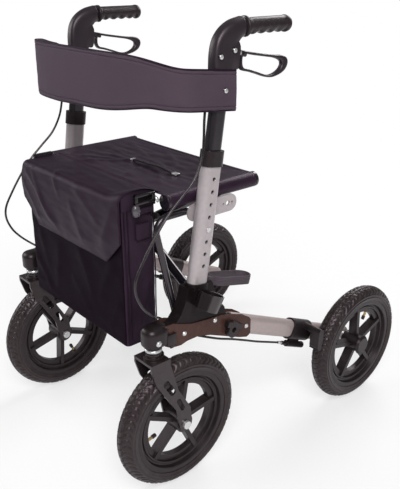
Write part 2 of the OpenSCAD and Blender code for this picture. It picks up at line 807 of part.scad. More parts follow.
module grip(side) {
    flange_l = grip_d / 5;
    waves = 9;
    steps = 6;
    wave_start = 1.5 * flange_l;
    wave_l = grip_l - wave_start - grip_d / 3;
    rings = [
        for (i = [0 : waves * steps])
            let (t = i / (waves * steps), dip = 0.5 + 0.5 * cos(360 * waves * t))
                [grip_d / 2 - grip_ring_h * dip, wave_start + t * wave_l]
    ];
    tip_r = grip_d / 6;
    tip = [for (a = [0 : 15 : 90]) [2 * tip_r + tip_r * cos(a), grip_l - tip_r + tip_r * sin(a)]];
    color("#19191b") at_side(side) translate([frame_x, bend_y, grip_z]) rotate([-90, 0, 0]) difference() {
        rotate_extrude() polygon(concat(
            [[0, 0], [grip_flange_d / 2, 0], [grip_flange_d / 2, flange_l], [grip_d / 2, wave_start]],
            rings, tip, [[0, grip_l]]
        ));
        translate([0, 0, -cut]) cylinder(d = grip_bar_d, h = grip_l - grip_d / 4 + cut);
    }
}

module lever_bracket(side) {
    low = bend_s - moulding_drop;
    high = bend_s + moulding_rise;
    front = -tube_depth / 2 - moulding_front;
    rear = lever_pin_v + lever_pin_d;
    half = tube_w / 2 + moulding_wall;
    color("#141416") at_side(side) difference() {
        union() {
            on_post() across(2 * half) polygon([
                [front + moulding_round / 2, low], [lever_pin_v, low], [rear, low + moulding_round],
                [rear, lever_pin_s + lever_pin_d / 2], [lever_pin_v - lever_pin_d / 2, high],
                [front + moulding_round / 4, high], [front, high - moulding_round],
                [front + moulding_round / 4, low + moulding_round / 3]
            ]);
            translate([0, -moulding_shift, 0]) on_post() translate([0, bend_r, bend_s]) rotate([90, 0, -90])
                rotate_extrude(angle = 90 - post_lean) translate([bend_r, 0]) rotate(90)
                    stadium(tube_depth + moulding_wall, 2 * half);
        }
        tube_form(0);
        translate([frame_x, lever_y, lever_z]) across(lever_t + 2 * gap)
            translate([-tube_depth, -2 * tube_depth])
                square([4 * tube_depth, 2 * tube_depth + 2 * lever_pin_d]);
        cross_pin(frame_x, lever_y, lever_z, lever_pin_d, 4 * half);
    }
}

module brake_lever(side) {
    bends = [for (p = lever_shares) p * lever_l];
    n = len(bends);
    color("#141416") at_side(side) translate([frame_x, lever_y, lever_z]) difference() {
        across(lever_t) {
            circle(d = 2.4 * lever_pin_d);
            bar([0, 0], bends[0], 1.4 * lever_bar);
            for (i = [0 : n - 1]) bar(bends[i], bends[(i + 1) % n], lever_bar_shares[i] * lever_bar);
        }
        cross_pin(0, 0, 0, lever_pin_d + 2 * run_fit, 2 * lever_t);
    }
}

module handle_fasteners(side) {
    half = tube_w / 2 + moulding_wall;
    rivets = [[-tube_depth * 0.53, bend_s - 2 * lever_pin_d], [tube_depth / 3, bend_s + lever_pin_d / 3]];
    color("gainsboro") at_side(side) {
        cross_pin(frame_x, lever_y, lever_z, lever_pin_d, tube_w + moulding_wall);
        on_post() {
            for (p = rivets) translate([half, p[0], p[1]]) rotate([0, 90, 0])
                cylinder(d1 = rivet_head_d, d2 = rivet_d, h = rivet_head_h);
            translate([tube_w / 2, 0, band_s]) rotate([0, 90, 0]) {
                cylinder(d = rivet_d, h = gap + band_t);
                translate([0, 0, gap + band_t]) cylinder(d1 = rivet_head_d, d2 = rivet_d, h = rivet_head_h);
            }
        }
    }
}

// Brake arm

module brake_arm(side) {
    shoe_r = axle_z + shoe_gap;
    shoe = [rear_y - (shoe_r + shoe_t / 2) * cos(shoe_angle), axle_z + (shoe_r + shoe_t / 2) * sin(shoe_angle)];
    color("#1a1a1c") at_side(side) difference() {
        translate([rear_x, 0, 0]) across(arm_w) {
            bar([arm_y, arm_z], shoe, 2.2 * arm_pin_d);
            translate(shoe) rotate(-shoe_angle) square([shoe_t, shoe_l], center = true);
        }
        on_wheel(rear_x, rear_y) cylinder(r = shoe_r, h = 2 * arm_w, center = true);
        cross_pin(rear_x, arm_y, arm_z, arm_pin_d + 2 * run_fit, 2 * arm_w);
    }
}

// Front fork

module fork_side(x) {
    leg_drop = bridge_top - axle_z;
    translate([x, stem_y, 0]) difference() {
        across(fork_leg_t) difference() {
            union() {
                polygon([
                    [bridge_front, bridge_top], [bridge_front, bridge_top - leg_drop * 0.08],
                    [bridge_front * 0.6, bridge_top - leg_drop * 0.28],
                    [caster_trail * 0.56, bridge_top - leg_drop * 0.74],
                    [caster_trail - leg_end_r, axle_z], [caster_trail + leg_end_r, axle_z],
                    [caster_trail + leg_end_r * 0.8, bridge_top - leg_drop * 0.78],
                    [caster_trail * 0.68, bridge_top - leg_drop * 0.47],
                    [bridge_front + bridge_l, bridge_top - leg_drop * 0.08],
                    [bridge_front + bridge_l, bridge_top]
                ]);
                translate([caster_trail, axle_z]) circle(r = leg_end_r);
            }
            for (t = slot_shares) bar(
                [caster_trail * t[0], bridge_top - leg_drop * t[1]],
                [caster_trail * t[2], bridge_top - leg_drop * t[3]], leg_end_r * t[4]
            );
        }
        cross_pin(0, caster_trail, axle_z, front_axle_d, 4 * fork_leg_t);
    }
}

module fork(side) {
    color("#1a1a1c") at_side(side) difference() {
        union() {
            translate([frame_x - fork_out + gap, stem_y + bridge_front + gap, bridge_top - bridge_t])
                cube([2 * (fork_out - gap), bridge_l - 2 * gap, bridge_t - gap]);
            translate([frame_x, stem_y, bridge_top - cut]) cylinder(d = cup_d, h = bridge_t + cut);
            translate([frame_x, stem_y, bridge_top]) cylinder(d = 0.8 * cup_d, h = 2 * bridge_t);
            for (e = [-1, 1]) fork_side(frame_x + e * (leg_x + fork_leg_t / 2));
        }
        translate([frame_x, stem_y, bridge_top - 2 * bridge_t]) cylinder(d = stem_d, h = 6 * bridge_t);
    }
}

module fork_fasteners(side) {
    color("gainsboro") at_side(side) {
        translate([frame_x, stem_y, bridge_top - bridge_t])
            cylinder(d = stem_d, h = head_z + head_h - bridge_top + bridge_t + bolt_head_h);
        translate([frame_x, stem_y, head_z + head_h - bolt_head_h + 2 * gap])
            cylinder(d = 1.6 * stem_d, h = bolt_head_h, $fn = 6);
        translate([frame_x, stem_y, bridge_top - bridge_t - bolt_head_h / 2])
            cylinder(d = 1.5 * stem_d, h = bolt_head_h / 2);
        cross_pin(frame_x, front_y, axle_z, front_axle_d, 2 * fork_out + 2 * bolt_head_h);
        for (e = [-1, 1]) cross_pin(frame_x + e * (fork_out + bolt_head_h / 2), front_y, axle_z,
            1.8 * front_axle_d, bolt_head_h);
    }
}

// Wheels

module tyre(x, y) {
    crown_r = axle_z - tyre_w / 2;
    on_wheel(x, y) rotate_extrude($fn = 96) difference() {
        translate([crown_r, 0]) circle(d = tyre_w);
        translate([crown_r, 0]) circle(d = tyre_w - 2 * tyre_wall);
        translate([0, -tyre_w]) square([bead_r, 2 * tyre_w]);
    }
}

module rim_body(bore_d, out_l, in_l, turn, cap_h) {
    ring_depth = bead_r - rim_inner_r;
    spoke_l = rim_inner_r + ring_share * ring_depth;
    face = [for (p = rim_shares) [rim_inner_r + p[0] * ring_depth, p[1] * rim_w / 2]];
    rotate_extrude($fn = 96) polygon(concat(
        face, [for (i = [len(face) - 1 : -1 : 0]) [face[i][0], -face[i][1]]]
    ));
    difference() {
        union() {
            translate([0, 0, -in_l]) cylinder(d = hub_d, h = in_l + out_l + cap_h / 2);
            if (cap_h > 0) translate([0, 0, out_l]) cylinder(d1 = hub_cap_d, d2 = 0.8 * hub_cap_d, h = cap_h);
            for (i = [0 : spoke_n - 1]) rotate(turn + 360 * i / spoke_n)
                translate([0, -spoke_w / 2, -spoke_depth / 2]) cube([spoke_l, spoke_w, spoke_depth]);
        }
        translate([0, 0, -in_l - cut])
            cylinder(d = bore_d + 2 * run_fit, h = in_l + out_l + (cap_h > 0 ? cut : 2 * cut));
    }
}

module front_rim(side) {
    color("#1d1d20") at_side(side) on_wheel(frame_x, front_y)
        rim_body(front_axle_d, hub_half, hub_half, side == left ? left_turn : right_turn, 0);
}

module front_tyre(side) {
    color("#232326") at_side(side) tyre(frame_x, front_y);
}

module rear_rim(side) {
    color("#1d1d20") at_side(side) on_wheel(rear_x, rear_y)
        rim_body(rear_axle_d, hub_half + gap, hub_half, rear_turn, hub_cap_h);
}

module rear_tyre(side) {
    color("#232326") at_side(side) tyre(rear_x, rear_y);
}

// Folding cross and seat

// Cylinder in the X-Z plane along a brace that rises from its lower pivot, from one distance to another
module along_brace(d, from, to) {
    rotate([0, 90 - cross_slope, 0]) translate([0, 0, from]) cylinder(d = d, h = to - from);
}

module rail_cut(side) {
    translate([side * seat_rail_x, seat_rail_front - cut, seat_rail_z]) rotate([-90, 0, 0])
        cylinder(d = seat_rail_d, h = seat_rail_l + 2 * cut);
}

module brace_form(plane, grow) {
    translate([-cross_x, plane, cross_z]) along_brace(brace_d + 2 * grow, 0, cross_l + seat_rail_d / 2);
}

// Brace that rises from the right lower pivot to the left seat rail
module brace(plane, pinned) {
    difference() {
        union() {
            brace_form(plane, 0);
            translate([-cross_x, cross_mid_y, cross_z]) rotate([90, 0, 0])
                cylinder(d = sleeve_d, h = sleeve_l, center = true);
        }
        translate([-cross_x, plane, cross_z]) {
            along_brace(brace_d - 2 * brace_wall, sleeve_d, cross_l / 2 - brace_d);
            along_brace(brace_d - 2 * brace_wall, cross_l / 2 + brace_d, cross_l - brace_d);
        }
        translate([-cross_x, cross_mid_y, cross_z]) rotate([90, 0, 0])
            cylinder(d = cross_pin_d + 2 * run_fit, h = 2 * sleeve_l, center = true);
        if (!pinned) translate([0, cross_mid_y, cross_z + cross_rise / 2]) rotate([90, 0, 0])
            cylinder(d = cross_pin_d + 2 * run_fit, h = 2 * sleeve_l, center = true);
        rail_cut(left);
    }
    if (pinned) translate([0, plane, cross_z + cross_rise / 2]) rotate([-90, 0, 0]) {
        cylinder(d = cross_pin_d, h = brace_pitch + brace_d / 2 + lug_t);
        translate([0, 0, brace_pitch + brace_d / 2 + gap]) cylinder(d = 1.6 * cross_pin_d, h = lug_t);
    }
}

module brace_a() {
    color("#141416") brace(plane_a, true);
}

module brace_b() {
    color("#141416") mirror([1, 0, 0]) brace(plane_b, false);
}

module seat_rail(side) {
    color("#141416") at_side(side) translate([seat_rail_x, seat_rail_front, seat_rail_z]) rotate([-90, 0, 0]) {
        cylinder(d = seat_rail_d, h = seat_rail_l);
        for (z = [0, seat_rail_l - cap_l]) translate([0, 0, z]) cylinder(d = 2 * cloth_r, h = cap_l);
    }
}

module seat_cloth() {
    steps = 24;
    arcs = 40;
    cloth_l = seat_rail_l - 2 * cap_l - 2 * gap;
    over = 116;
    below = 180 - asin(sin(over) - seat_t / cloth_r);
    sleeve = [
        for (i = [0 : arcs])
            let (a = over - i / arcs * (over + 360 - below)) [seat_rail_x + cloth_r * cos(a), cloth_r * sin(a)]
    ];
    edge = sleeve[0];
    hem = sleeve[arcs];
    top = [
        for (i = [1 - steps : steps - 1])
            let (t = i / steps) [t * edge[0], edge[1] - seat_sag * (1 - t * t)]
    ];
    under = [
        for (i = [steps - 1 : -1 : 1 - steps])
            let (t = i / steps) [t * hem[0], hem[1] - seat_sag * (1 - t * t)]
    ];
    far_sleeve = [for (i = [arcs : -1 : 0]) [-sleeve[i][0], sleeve[i][1]]];
    color("#1e1c22") difference() {
        translate([0, seat_rail_front + cap_l + gap, seat_rail_z]) mirror([0, 1, 0]) rotate([90, 0, 0])
            linear_extrude(cloth_l) polygon(concat(sleeve, under, far_sleeve, top));
        for (e = [-1, 1]) translate([e * seat_rail_x, seat_rail_front - cut, seat_rail_z]) rotate([-90, 0, 0])
            cylinder(r = seat_rail_d / 2 + gap, h = seat_rail_l + 2 * cut);
        brace_form(plane_a, gap);
        mirror([1, 0, 0]) brace_form(plane_b, gap);
    }
}

module seat_strap() {
    strap_y = post_y + strap_back;
    steps = 12;
    base_z = seat_rail_z + 0.89 * cloth_r - seat_sag + gap;
    top = [
        for (i = [0 : steps])
            let (t = 2 * i / steps - 1, x = strap_x + t * strap_l / 2)
                [x, strap_arch * (1 - t * t) + strap_t + seat_sag * pow(x / seat_rail_x, 2)]
    ];
    under = [for (i = [steps : -1 : 0]) top[i] - [0, strap_t]];
    color("#17161a") translate([0, strap_y + strap_w / 2, base_z + gap]) rotate([90, 0, 0])
        linear_extrude(strap_w) polygon(concat(top, under));
}

// Backrest band

function band_side(t) = t < 0.3
    ? [band_x, band_end_y + (band_turn_y - band_end_y) * t / 0.3]
    : let (a = 90 * (t - 0.3) / 0.7)
        [band_x * pow(cos(a), 2 / band_power), band_turn_y - band_bow * pow(sin(a), 2 / band_power)];
function band_at(u) = let (p = band_side(1 - abs(u))) [u < 0 ? -p[0] : p[0], p[1]];
function band_wide(u, reach) =
    smooth(clip((reach - abs(u + band_slide_share)) / band_taper_share))
    * smooth(clip((1 - abs(u)) / band_end_share - 1));

module backrest_band() {
    us = [for (i = [0 : 2 * band_n]) i / band_n - 1];
    line = [for (u = us) band_at(u)];
    n = len(line);
    sides = 4;
    rings = [
        for (i = [0 : n - 1])
            let (
                d = unit(line[min(n - 1, i + 1)] - line[max(0, i - 1)]),
                out = [d[1], -d[0]],
                mid = band_mid_z + band_slope * (band_mid_y - line[i][1]),
                top = mid + band_end_h / 2 + band_rise * band_wide(us[i], band_top_share),
                low = mid - band_end_h / 2 - band_drop * band_wide(us[i], band_low_share)
            )
                for (e = [[0, 1], [1, 0.96], [1, 0.04], [0, 0]])
                    let (q = line[i] + e[0] * band_t * out) [q[0], q[1], low + e[1] * (top - low)]
    ];
    walls = [
        for (i = [0 : n - 2])
            for (k = [0 : sides - 1])
                let (p = i * sides + k, q = i * sides + (k + 1) % sides)
                    for (f = [[p, q + sides, q], [p, p + sides, q + sides]]) f
    ];
    start = [for (k = [1 : sides - 2]) [0, k, k + 1]];
    stop = [for (k = [1 : sides - 2]) let (o = (n - 1) * sides) [o, o + k + 1, o + k]];
    color("#2b2a2d") difference() {
        polyhedron(points = rings, faces = concat(walls, start, stop));
        for (side = [left, right]) at_side(side) on_post() translate([0, 0, band_s]) rotate([0, 90, 0])
            cylinder(d = rivet_d, h = 2 * tube_w);
    }
}

// Bag

module bag() {
    color("#1b1920") hull() for (x = [-1, 1], y = [0, 1], z = [0, 1])
        translate([
            x * (bag_w / 2 - bag_round), bag_front + bag_round + y * (bag_depth - 2 * bag_round),
            bag_z + bag_round + z * (bag_h - 2 * bag_round)
        ]) sphere(r = bag_round, $fn = 24);
}

module bag_flap() {
    lower = flap_top_z - flap_drop;
    corner = bag_w / 8;
    color("#1e1c22") intersection() {
        rotate([90, 0, 90]) translate([0, 0, -bag_w / 2]) linear_extrude(bag_w) difference() {
            translate([bag_front - gap - flap_t, lower])
                square([bag_rear - bag_front + gap + flap_t, flap_drop + flap_t]);
            translate([bag_front - gap, lower - cut]) square([2 * bag_depth, flap_drop + cut]);
        }
        rotate([90, 0, 0]) linear_extrude(2 * wheelbase, center = true) polygon([
            [-bag_w / 2, flap_top_z + 2 * flap_t], [bag_w / 2, flap_top_z + 2 * flap_t],
            [bag_w / 2, lower + corner], [bag_w / 2 - corner, lower],
            [corner - bag_w / 2, lower], [-bag_w / 2, lower + corner]
        ]);
    }
}

module bag_buckles() {
    buckle_z = bag_z + bag_h - buckle_h;
    buckle_y = bag_rear - bag_depth * 0.43;
    color("#141416") for (side = [left, right]) at_side(side)
        translate([bag_w / 2 + gap, buckle_y - buckle_w / 2, buckle_z]) {
            difference() {
                cube([buckle_t, buckle_w, buckle_h]);
                for (z = [0.12, 0.62]) translate([buckle_t / 3, buckle_w / 5, z * buckle_h])
                    cube([buckle_t, buckle_w * 0.6, buckle_h * 0.2]);
            }
            translate([0, buckle_w * 0.9, 0])
                cube([stay_x - stay_d / 2 - bag_w / 2 - 2 * gap, buckle_w * 0.55, buckle_h / 4]);
        }
}

// Stick holder

module stick_loop() {
    color("#18181a") difference() {
        translate([frame_x, loop_y, loop_z]) rotate([loop_tilt, 0, 0]) translate([0, loop_l / 2, -loop_h / 2]) {
            linear_extrude(loop_h) difference() {
                stadium(loop_l, loop_w);
                stadium(loop_l - 2 * loop_t, loop_w - 2 * loop_t);
            }
            translate([-loop_w / 4, -loop_l / 2 - root_l, 0]) cube([loop_w / 2, root_l + loop_t, loop_h]);
        }
        boss();
        on_post() linear_extrude(post_l) stadium(post_depth, post_w);
        translate([frame_x, housing_y, housing_z]) across(2 * loop_w)
            polygon([for (p = housing_shares) [p[0] * housing_l, p[1] * housing_h]]);
    }
}

module stick_cup() {
    face_x = frame_x + frame_t / 2;
    color("#18181a") difference() {
        translate([face_x + cup_pad + cup_top_d / 2, cup_y, cup_z]) rotate([-cup_lean, 0, 0]) difference() {
            union() {
                cylinder(d1 = cup_foot_d, d2 = cup_top_d, h = cup_h);
                translate([-cup_pad - cup_top_d / 2, -cup_foot_d / 3, 0])
                    cube([cup_pad + cup_top_d / 4, cup_foot_d / 1.5, cup_h * 0.8]);
            }
            translate([0, 0, cup_wall])
                cylinder(d1 = cup_foot_d - 2 * cup_wall, d2 = cup_top_d - 2 * cup_wall, h = cup_h - cup_wall);
            translate([0, 0, cup_h - cut / 2]) cylinder(d = cup_top_d - 2 * cup_wall, h = cut);
        }
        boss();
    }
}

post(left);  // left_post
collar(left);  // left_collar
rail(left);  // left_rail
rail_plates(left);  // left_rail_plates
housing(left);  // left_housing
caster_head(left);  // left_caster_head
frame_fasteners(left);  // left_frame_fasteners
seat_bracket(left);  // left_seat_bracket
bag_stay(left);  // left_bag_stay
brake_carrier(left);  // left_brake_carrier
cable_guide(left);  // left_cable_guide
brake_cable(left);  // left_brake_cable
handle_tube(left);  // left_handle_tube
grip(left);  // left_grip
lever_bracket(left);  // left_lever_bracket
brake_lever(left);  // left_brake_lever
handle_fasteners(left);  // left_handle_fasteners
brake_arm(left);  // left_brake_arm
fork(left);  // left_fork
fork_fasteners(left);  // left_fork_fasteners
front_rim(left);  // left_front_rim
front_tyre(left);  // left_front_tyre
rear_rim(left);  // left_rear_rim
rear_tyre(left);  // left_rear_tyre
post(right);  // right_post
collar(right);  // right_collar
rail(right);  // right_rail
rail_plates(right);  // right_rail_plates
housing(right);  // right_housing
caster_head(right);  // right_caster_head
frame_fasteners(right);  // right_frame_fasteners
seat_bracket(right);  // right_seat_bracket
bag_stay(right);  // right_bag_stay
brake_carrier(right);  // right_brake_carrier
cable_guide(right);  // right_cable_guide
brake_cable(right);  // right_brake_cable
handle_tube(right);  // right_handle_tube
grip(right);  // right_grip
lever_bracket(right);  // right_lever_bracket
brake_lever(right);  // right_brake_lever
handle_fasteners(right);  // right_handle_fasteners
brake_arm(right);  // right_brake_arm
fork(right);  // right_fork
fork_fasteners(right);  // right_fork_fasteners
front_rim(right);  // right_front_rim
front_tyre(right);  // right_front_tyre
rear_rim(right);  // right_rear_rim
rear_tyre(right);  // right_rear_tyre
brace_a();
brace_b();
seat_rail(left);  // left_seat_rail
seat_rail(right);  // right_seat_rail
seat_cloth();
seat_strap();
backrest_band();
bag();
bag_flap();
bag_buckles();
stick_loop();
stick_cup();
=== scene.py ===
from math import asin, copysign, cos, dist, exp, hypot, pi, radians, sin, sqrt

import bmesh
import bpy
from mathutils import Matrix, Vector, noise


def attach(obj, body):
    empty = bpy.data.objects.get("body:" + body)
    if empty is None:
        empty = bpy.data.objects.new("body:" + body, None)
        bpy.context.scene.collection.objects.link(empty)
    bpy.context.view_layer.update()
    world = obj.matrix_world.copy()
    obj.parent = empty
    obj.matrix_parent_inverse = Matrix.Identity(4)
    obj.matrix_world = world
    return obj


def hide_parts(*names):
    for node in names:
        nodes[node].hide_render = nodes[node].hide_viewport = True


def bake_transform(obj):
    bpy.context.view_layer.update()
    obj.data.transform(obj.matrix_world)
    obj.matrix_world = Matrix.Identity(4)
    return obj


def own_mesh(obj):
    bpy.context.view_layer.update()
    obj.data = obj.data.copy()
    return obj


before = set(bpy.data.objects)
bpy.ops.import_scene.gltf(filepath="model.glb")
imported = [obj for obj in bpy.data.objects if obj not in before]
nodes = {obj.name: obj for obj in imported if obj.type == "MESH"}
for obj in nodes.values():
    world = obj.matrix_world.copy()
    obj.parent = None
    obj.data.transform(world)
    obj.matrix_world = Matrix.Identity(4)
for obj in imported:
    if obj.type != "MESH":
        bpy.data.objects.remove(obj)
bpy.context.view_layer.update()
sides = (("left", 1), ("right", -1))
print("frame loaded")


# small helpers

def mm(*values):
    return Vector([v / 1000 for v in values])


def clamp(t):
    return min(1, max(0, t))


def smoothStep(t):
    t = clamp(t)
    return t * t * (3 - 2 * t)


def lerp(a, b, t):
    return a + (b - a) * t


def bulge(value, power):
    # turns a sine or cosine into that of a boxy curve
    return copysign(abs(value) ** (2 / power), value)


def roundIn(near, radius):
    # how far a rounded edge steps in at a distance from its end
    return radius * (1 - sqrt(max(0, 1 - max(0, 1 - near / radius) ** 2)))


def circle(count, shift=0.0):
    # cosine and sine of equal steps round a circle
    angles = [2 * pi * (k + shift) / count for k in range(count)]
    return [(cos(a), sin(a)) for a in angles]


def wrinkle(p, size, seed):
    # smooth signed noise at a length scale in metres
    return noise.noise(Vector(p) / size + Vector((seed, seed * 1.7, -seed)))


def ripples(layers, x, y):
    # sum of noise layers, each with its height, stretch in x, level, size and seed
    return sum(high * wrinkle((x * stretch, y, level), size, seed) for high, stretch, level, size, seed in layers)


def spaced(points, least):
    kept = [points[0]]
    for p in points[1:]:
        if (p - kept[-1]).length > least:
            kept.append(p)
    return kept


def tangent(points, i, closed=False):
    count = len(points)
    ahead = (i + 1) % count if closed else min(count - 1, i + 1)
    behind = i - 1 if closed else max(0, i - 1)
    return (points[ahead] - points[behind]).normalized()


def curvePoints(points, steps, closed=False):
    # a smooth curve through all the points
    out = []
    n = len(points)
    for i in range(n if closed else n - 1):
        near = [(i + k) % n if closed else min(n - 1, max(0, i + k)) for k in (-1, 0, 1, 2)]
        a, b, c, d = (points[k] for k in near)
        for j in range(steps):
            t = j / steps
            out.append(b + (c - a) * (t / 2) + (2 * a - 5 * b + 4 * c - d) * (t * t / 2)
                       + (3 * b - a - 3 * c + d) * (t ** 3 / 2))
    if not closed:
        out.append(points[-1].copy())
    return out


# shapes as vertices and faces

def loftRings(rings, closedRing=True, closedPath=False):
    count = len(rings[0])
    verts = [p for ring in rings for p in ring]
    faces = []
    for i in range(len(rings) if closedPath else len(rings) - 1):
        a, b = i * count, (i + 1) % len(rings) * count
        for k in range(count if closedRing else count - 1):
            n = (k + 1) % count
            faces.append((a + k, a + n, b + n, b + k))
    if closedRing and not closedPath:
        faces.append(tuple(range(count - 1, -1, -1)))
        faces.append(tuple(range(len(verts) - count, len(verts))))
    return verts, faces


def joinParts(parts):
    verts, faces = [], []
    for v, f in parts:
        base = len(verts)
        verts += v
        faces += [tuple(i + base for i in face) for face in f]
    return verts, faces


def tubeParts(points, radius, count):
    # a round tube with one radius, or with a list of one for each point
    normal = Vector((0.31, 0.22, 0.93))
    rings = []
    for i, p in enumerate(points):
        t = tangent(points, i)
        normal = (normal - t * normal.dot(t)).normalized()
        side = t.cross(normal)
        r = radius[i] if isinstance(radius, list) else radius
        rings.append([p + normal * (r * ca) + side * (r * sa) for ca, sa in circle(count)])
    return loftRings(rings)


def turnedParts(centre, profile, count, upright=False):
    # rings of height and radius about the X axis, or about Z when upright
    return loftRings([
        [centre + Vector((r * ca, r * sa, h) if upright else (h, r * ca, r * sa)) for ca, sa in circle(count)]
        for h, r in profile
    ])


def domeParts(centre, sizes, count=16, rows=8):
    rings = []
    for j in range(rows + 1):
        a = pi * (j + 0.12) / (rows + 0.24)
        x, y, z = (size * part for size, part in zip(sizes, (cos(a), sin(a), sin(a))))
        rings.append([centre + Vector((x, y * ca, z * sa)) for ca, sa in circle(count)])
    return loftRings(rings)


def boxParts(low, high, sign=1, x=0):
    # a box between two corners that are x away, on the other side when sign is -1
    x0, x1 = sorted((sign * (x + low[0]), sign * (x + high[0])))
    base = ((x0, low[1]), (x1, low[1]), (x1, high[1]), (x0, high[1]))
    verts = [Vector((x, y, z)) for z in (low[2], high[2]) for x, y in base]
    return verts, [(3, 2, 1, 0), (4, 5, 6, 7), (0, 1, 5, 4), (1, 2, 6, 5), (2, 3, 7, 6), (3, 0, 4, 7)]


# meshes

def makeMesh(name, verts, faces, smooth=True):
    mesh = bpy.data.meshes.new(name)
    mesh.from_pydata([tuple(v) for v in verts], [], faces)
    mesh.validate()
    mesh.update()
    mesh.polygons.foreach_set("use_smooth", [smooth] * len(mesh.polygons))
    obj = bpy.data.objects.new(name, mesh)
    bpy.context.scene.collection.objects.link(obj)
    return obj


def facesOut(obj):
    work = bmesh.new()
    work.from_mesh(obj.data)
    bmesh.ops.recalc_face_normals(work, faces=work.faces)
    work.to_mesh(obj.data)
    work.free()


def keepSharp(obj, degrees):
    obj.data.set_sharp_from_angle(angle=radians(degrees))


def applyAll(obj):
    bpy.context.view_layer.update()
    graph = bpy.context.evaluated_depsgraph_get()
    mesh = bpy.data.meshes.new_from_object(obj.evaluated_get(graph))
    old = obj.data
    obj.modifiers.clear()
    obj.data = mesh
    bpy.data.meshes.remove(old)
    mesh.name = obj.name


def thicken(obj, thickness):
    solid = obj.modifiers.new("thickness", "SOLIDIFY")
    solid.thickness = thickness
    solid.offset = 0.0
    applyAll(obj)


def softenEdges(obj, width, angle):
    bevel = obj.modifiers.new("edges", "BEVEL")
    bevel.width = width
    bevel.segments = 2
    bevel.limit_method = "ANGLE"
    bevel.angle_limit = radians(angle)
    applyAll(obj)
    obj.data.polygons.foreach_set("use_smooth", [True] * len(obj.data.polygons))
    keepSharp(obj, 40)


# shader groups

def feed(tree, node, inputs):
    # a number or a colour is set, an output is linked
    for key, value in inputs.items():
        if isinstance(value, (int, float, tuple)):
            node.inputs[key].default_value = value
        elif value is not None:
            tree.links.new(value, node.inputs[key])
    return node


def addNode(tree, kind, inputs=None, **settings):
    node = tree.nodes.new(kind)
    for key, value in settings.items():
        setattr(node, key, value)
    return feed(tree, node, inputs or {})


def math2(tree, operation, a, b=None, limit=False):
    return addNode(tree, "ShaderNodeMath", {0: a, 1: b}, operation=operation, use_clamp=limit).outputs[0]


def mixColour(tree, factor, a, b):
    return addNode(tree, "ShaderNodeMix", {0: factor, 6: a, 7: b}, data_type="RGBA").outputs[2]


def mapValue(tree, value, fromLow, fromHigh, toLow, toHigh):
    inputs = dict(enumerate((value, fromLow, fromHigh, toLow, toHigh)))
    return addNode(tree, "ShaderNodeMapRange", inputs).outputs[0]


def noiseAt(tree, vector, scale, detail, rough=0.55):
    inputs = {"Vector": vector, "Scale": scale, "Detail": detail, "Roughness": rough}
    return addNode(tree, "ShaderNodeTexNoise", inputs).outputs["Fac"]


def newGroup(name, inputs, *outputs):
    # a group of plain numbers, with the object's own coordinates at hand
    group = bpy.data.node_groups.new(name, "ShaderNodeTree")
    for label, value in inputs.items():
        socket = group.interface.new_socket(name=label, in_out="INPUT", socket_type="NodeSocketFloat")
        socket.default_value = value
    for label in outputs:
        group.interface.new_socket(name=label, in_out="OUTPUT", socket_type="NodeSocketFloat")
    place = addNode(group, "ShaderNodeTexCoord").outputs["Object"]
    return group, place, addNode(group, "NodeGroupInput").outputs, addNode(group, "NodeGroupOutput")


def makeGrainGroup():
    # fine moulded grain: height for a bump and a slow mottle
    scales = {"Grain Scale": 900.0, "Mottle Scale": 14.0}
    group, place, into, out = newGroup("mouldedGrain", scales, "Height", "Mottle")
    feed(group, out, {0: noiseAt(group, place, into[0], 2.0), 1: noiseAt(group, place, into[1], 4.0)})
    return group


def makeWeaveGroup():
    # crossed threads, drawn along the diagonals of the three axes so that no side is left plain
    group, place, into, out = newGroup("clothWeave", {"Thread Scale": 900.0}, "Height", "Fade")
    x, y, z = addNode(group, "ShaderNodeSeparateXYZ", {0: place}).outputs
    turns = math2(group, "MULTIPLY", into[0], 6.283)
    threads = []
    for axis, lean in ((x, 0.83), (z, 0.41)):
        along = math2(group, "ADD", axis, math2(group, "MULTIPLY", y, lean))
        threads.append(math2(group, "SINE", math2(group, "MULTIPLY", along, turns)))
    height = math2(group, "MULTIPLY", math2(group, "MULTIPLY", *threads), 0.5)
    feed(group, out, {0: math2(group, "ADD", height, 0.5), 1: noiseAt(group, place, 9.0, 5.0, 0.6)})
    return group


def makeDustGroup():
    # pale dust that settles on what faces up and in the mottle of the surface
    group, place, into, out = newGroup("settledDust", {"Amount": 0.2, "Scale": 40.0}, "Mask")
    normal = addNode(group, "ShaderNodeNewGeometry").outputs["Normal"]
    facing = addNode(group, "ShaderNodeSeparateXYZ", {0: normal}).outputs[2]
    up = mapValue(group, facing, -0.2, 1.0, 0.15, 1.0)
    cloud = mapValue(group, noiseAt(group, place, into[1], 6.0, 0.65), 0.42, 0.72, 0.0, 1.0)
    feed(group, out, {0: math2(group, "MULTIPLY", math2(group, "MULTIPLY", up, cloud), into[0], True)})
    return group


def makeWearGroup():
    # convex edges that have been rubbed paler
    group, place, into, out = newGroup("edgeWear", {"Amount": 0.3, "Breakup": 120.0}, "Mask")
    edge = mapValue(group, addNode(group, "ShaderNodeNewGeometry").outputs["Pointiness"], 0.52, 0.62, 0.0, 1.0)
    cloud = mapValue(group, noiseAt(group, place, into[1], 4.0), 0.35, 0.7, 0.2, 1.0)
    feed(group, out, {0: math2(group, "MULTIPLY", math2(group, "MULTIPLY", edge, cloud), into[0], True)})
    return group


grainGroup = makeGrainGroup()
weaveGroup = makeWeaveGroup()
dustGroup = makeDustGroup()
wearGroup = makeWearGroup()
white = (1.0, 1.0, 1.0, 1.0)


def placeGroup(tree, group, **values):
    inputs = {label.replace("_", " "): value for label, value in values.items()}
    return addNode(tree, "ShaderNodeGroup", inputs, node_tree=group).outputs


def addBump(tree, height, strength, distance, under=None):
    inputs = {"Height": height, "Strength": strength, "Distance": distance, "Normal": under}
    return addNode(tree, "ShaderNodeBump", inputs).outputs["Normal"]


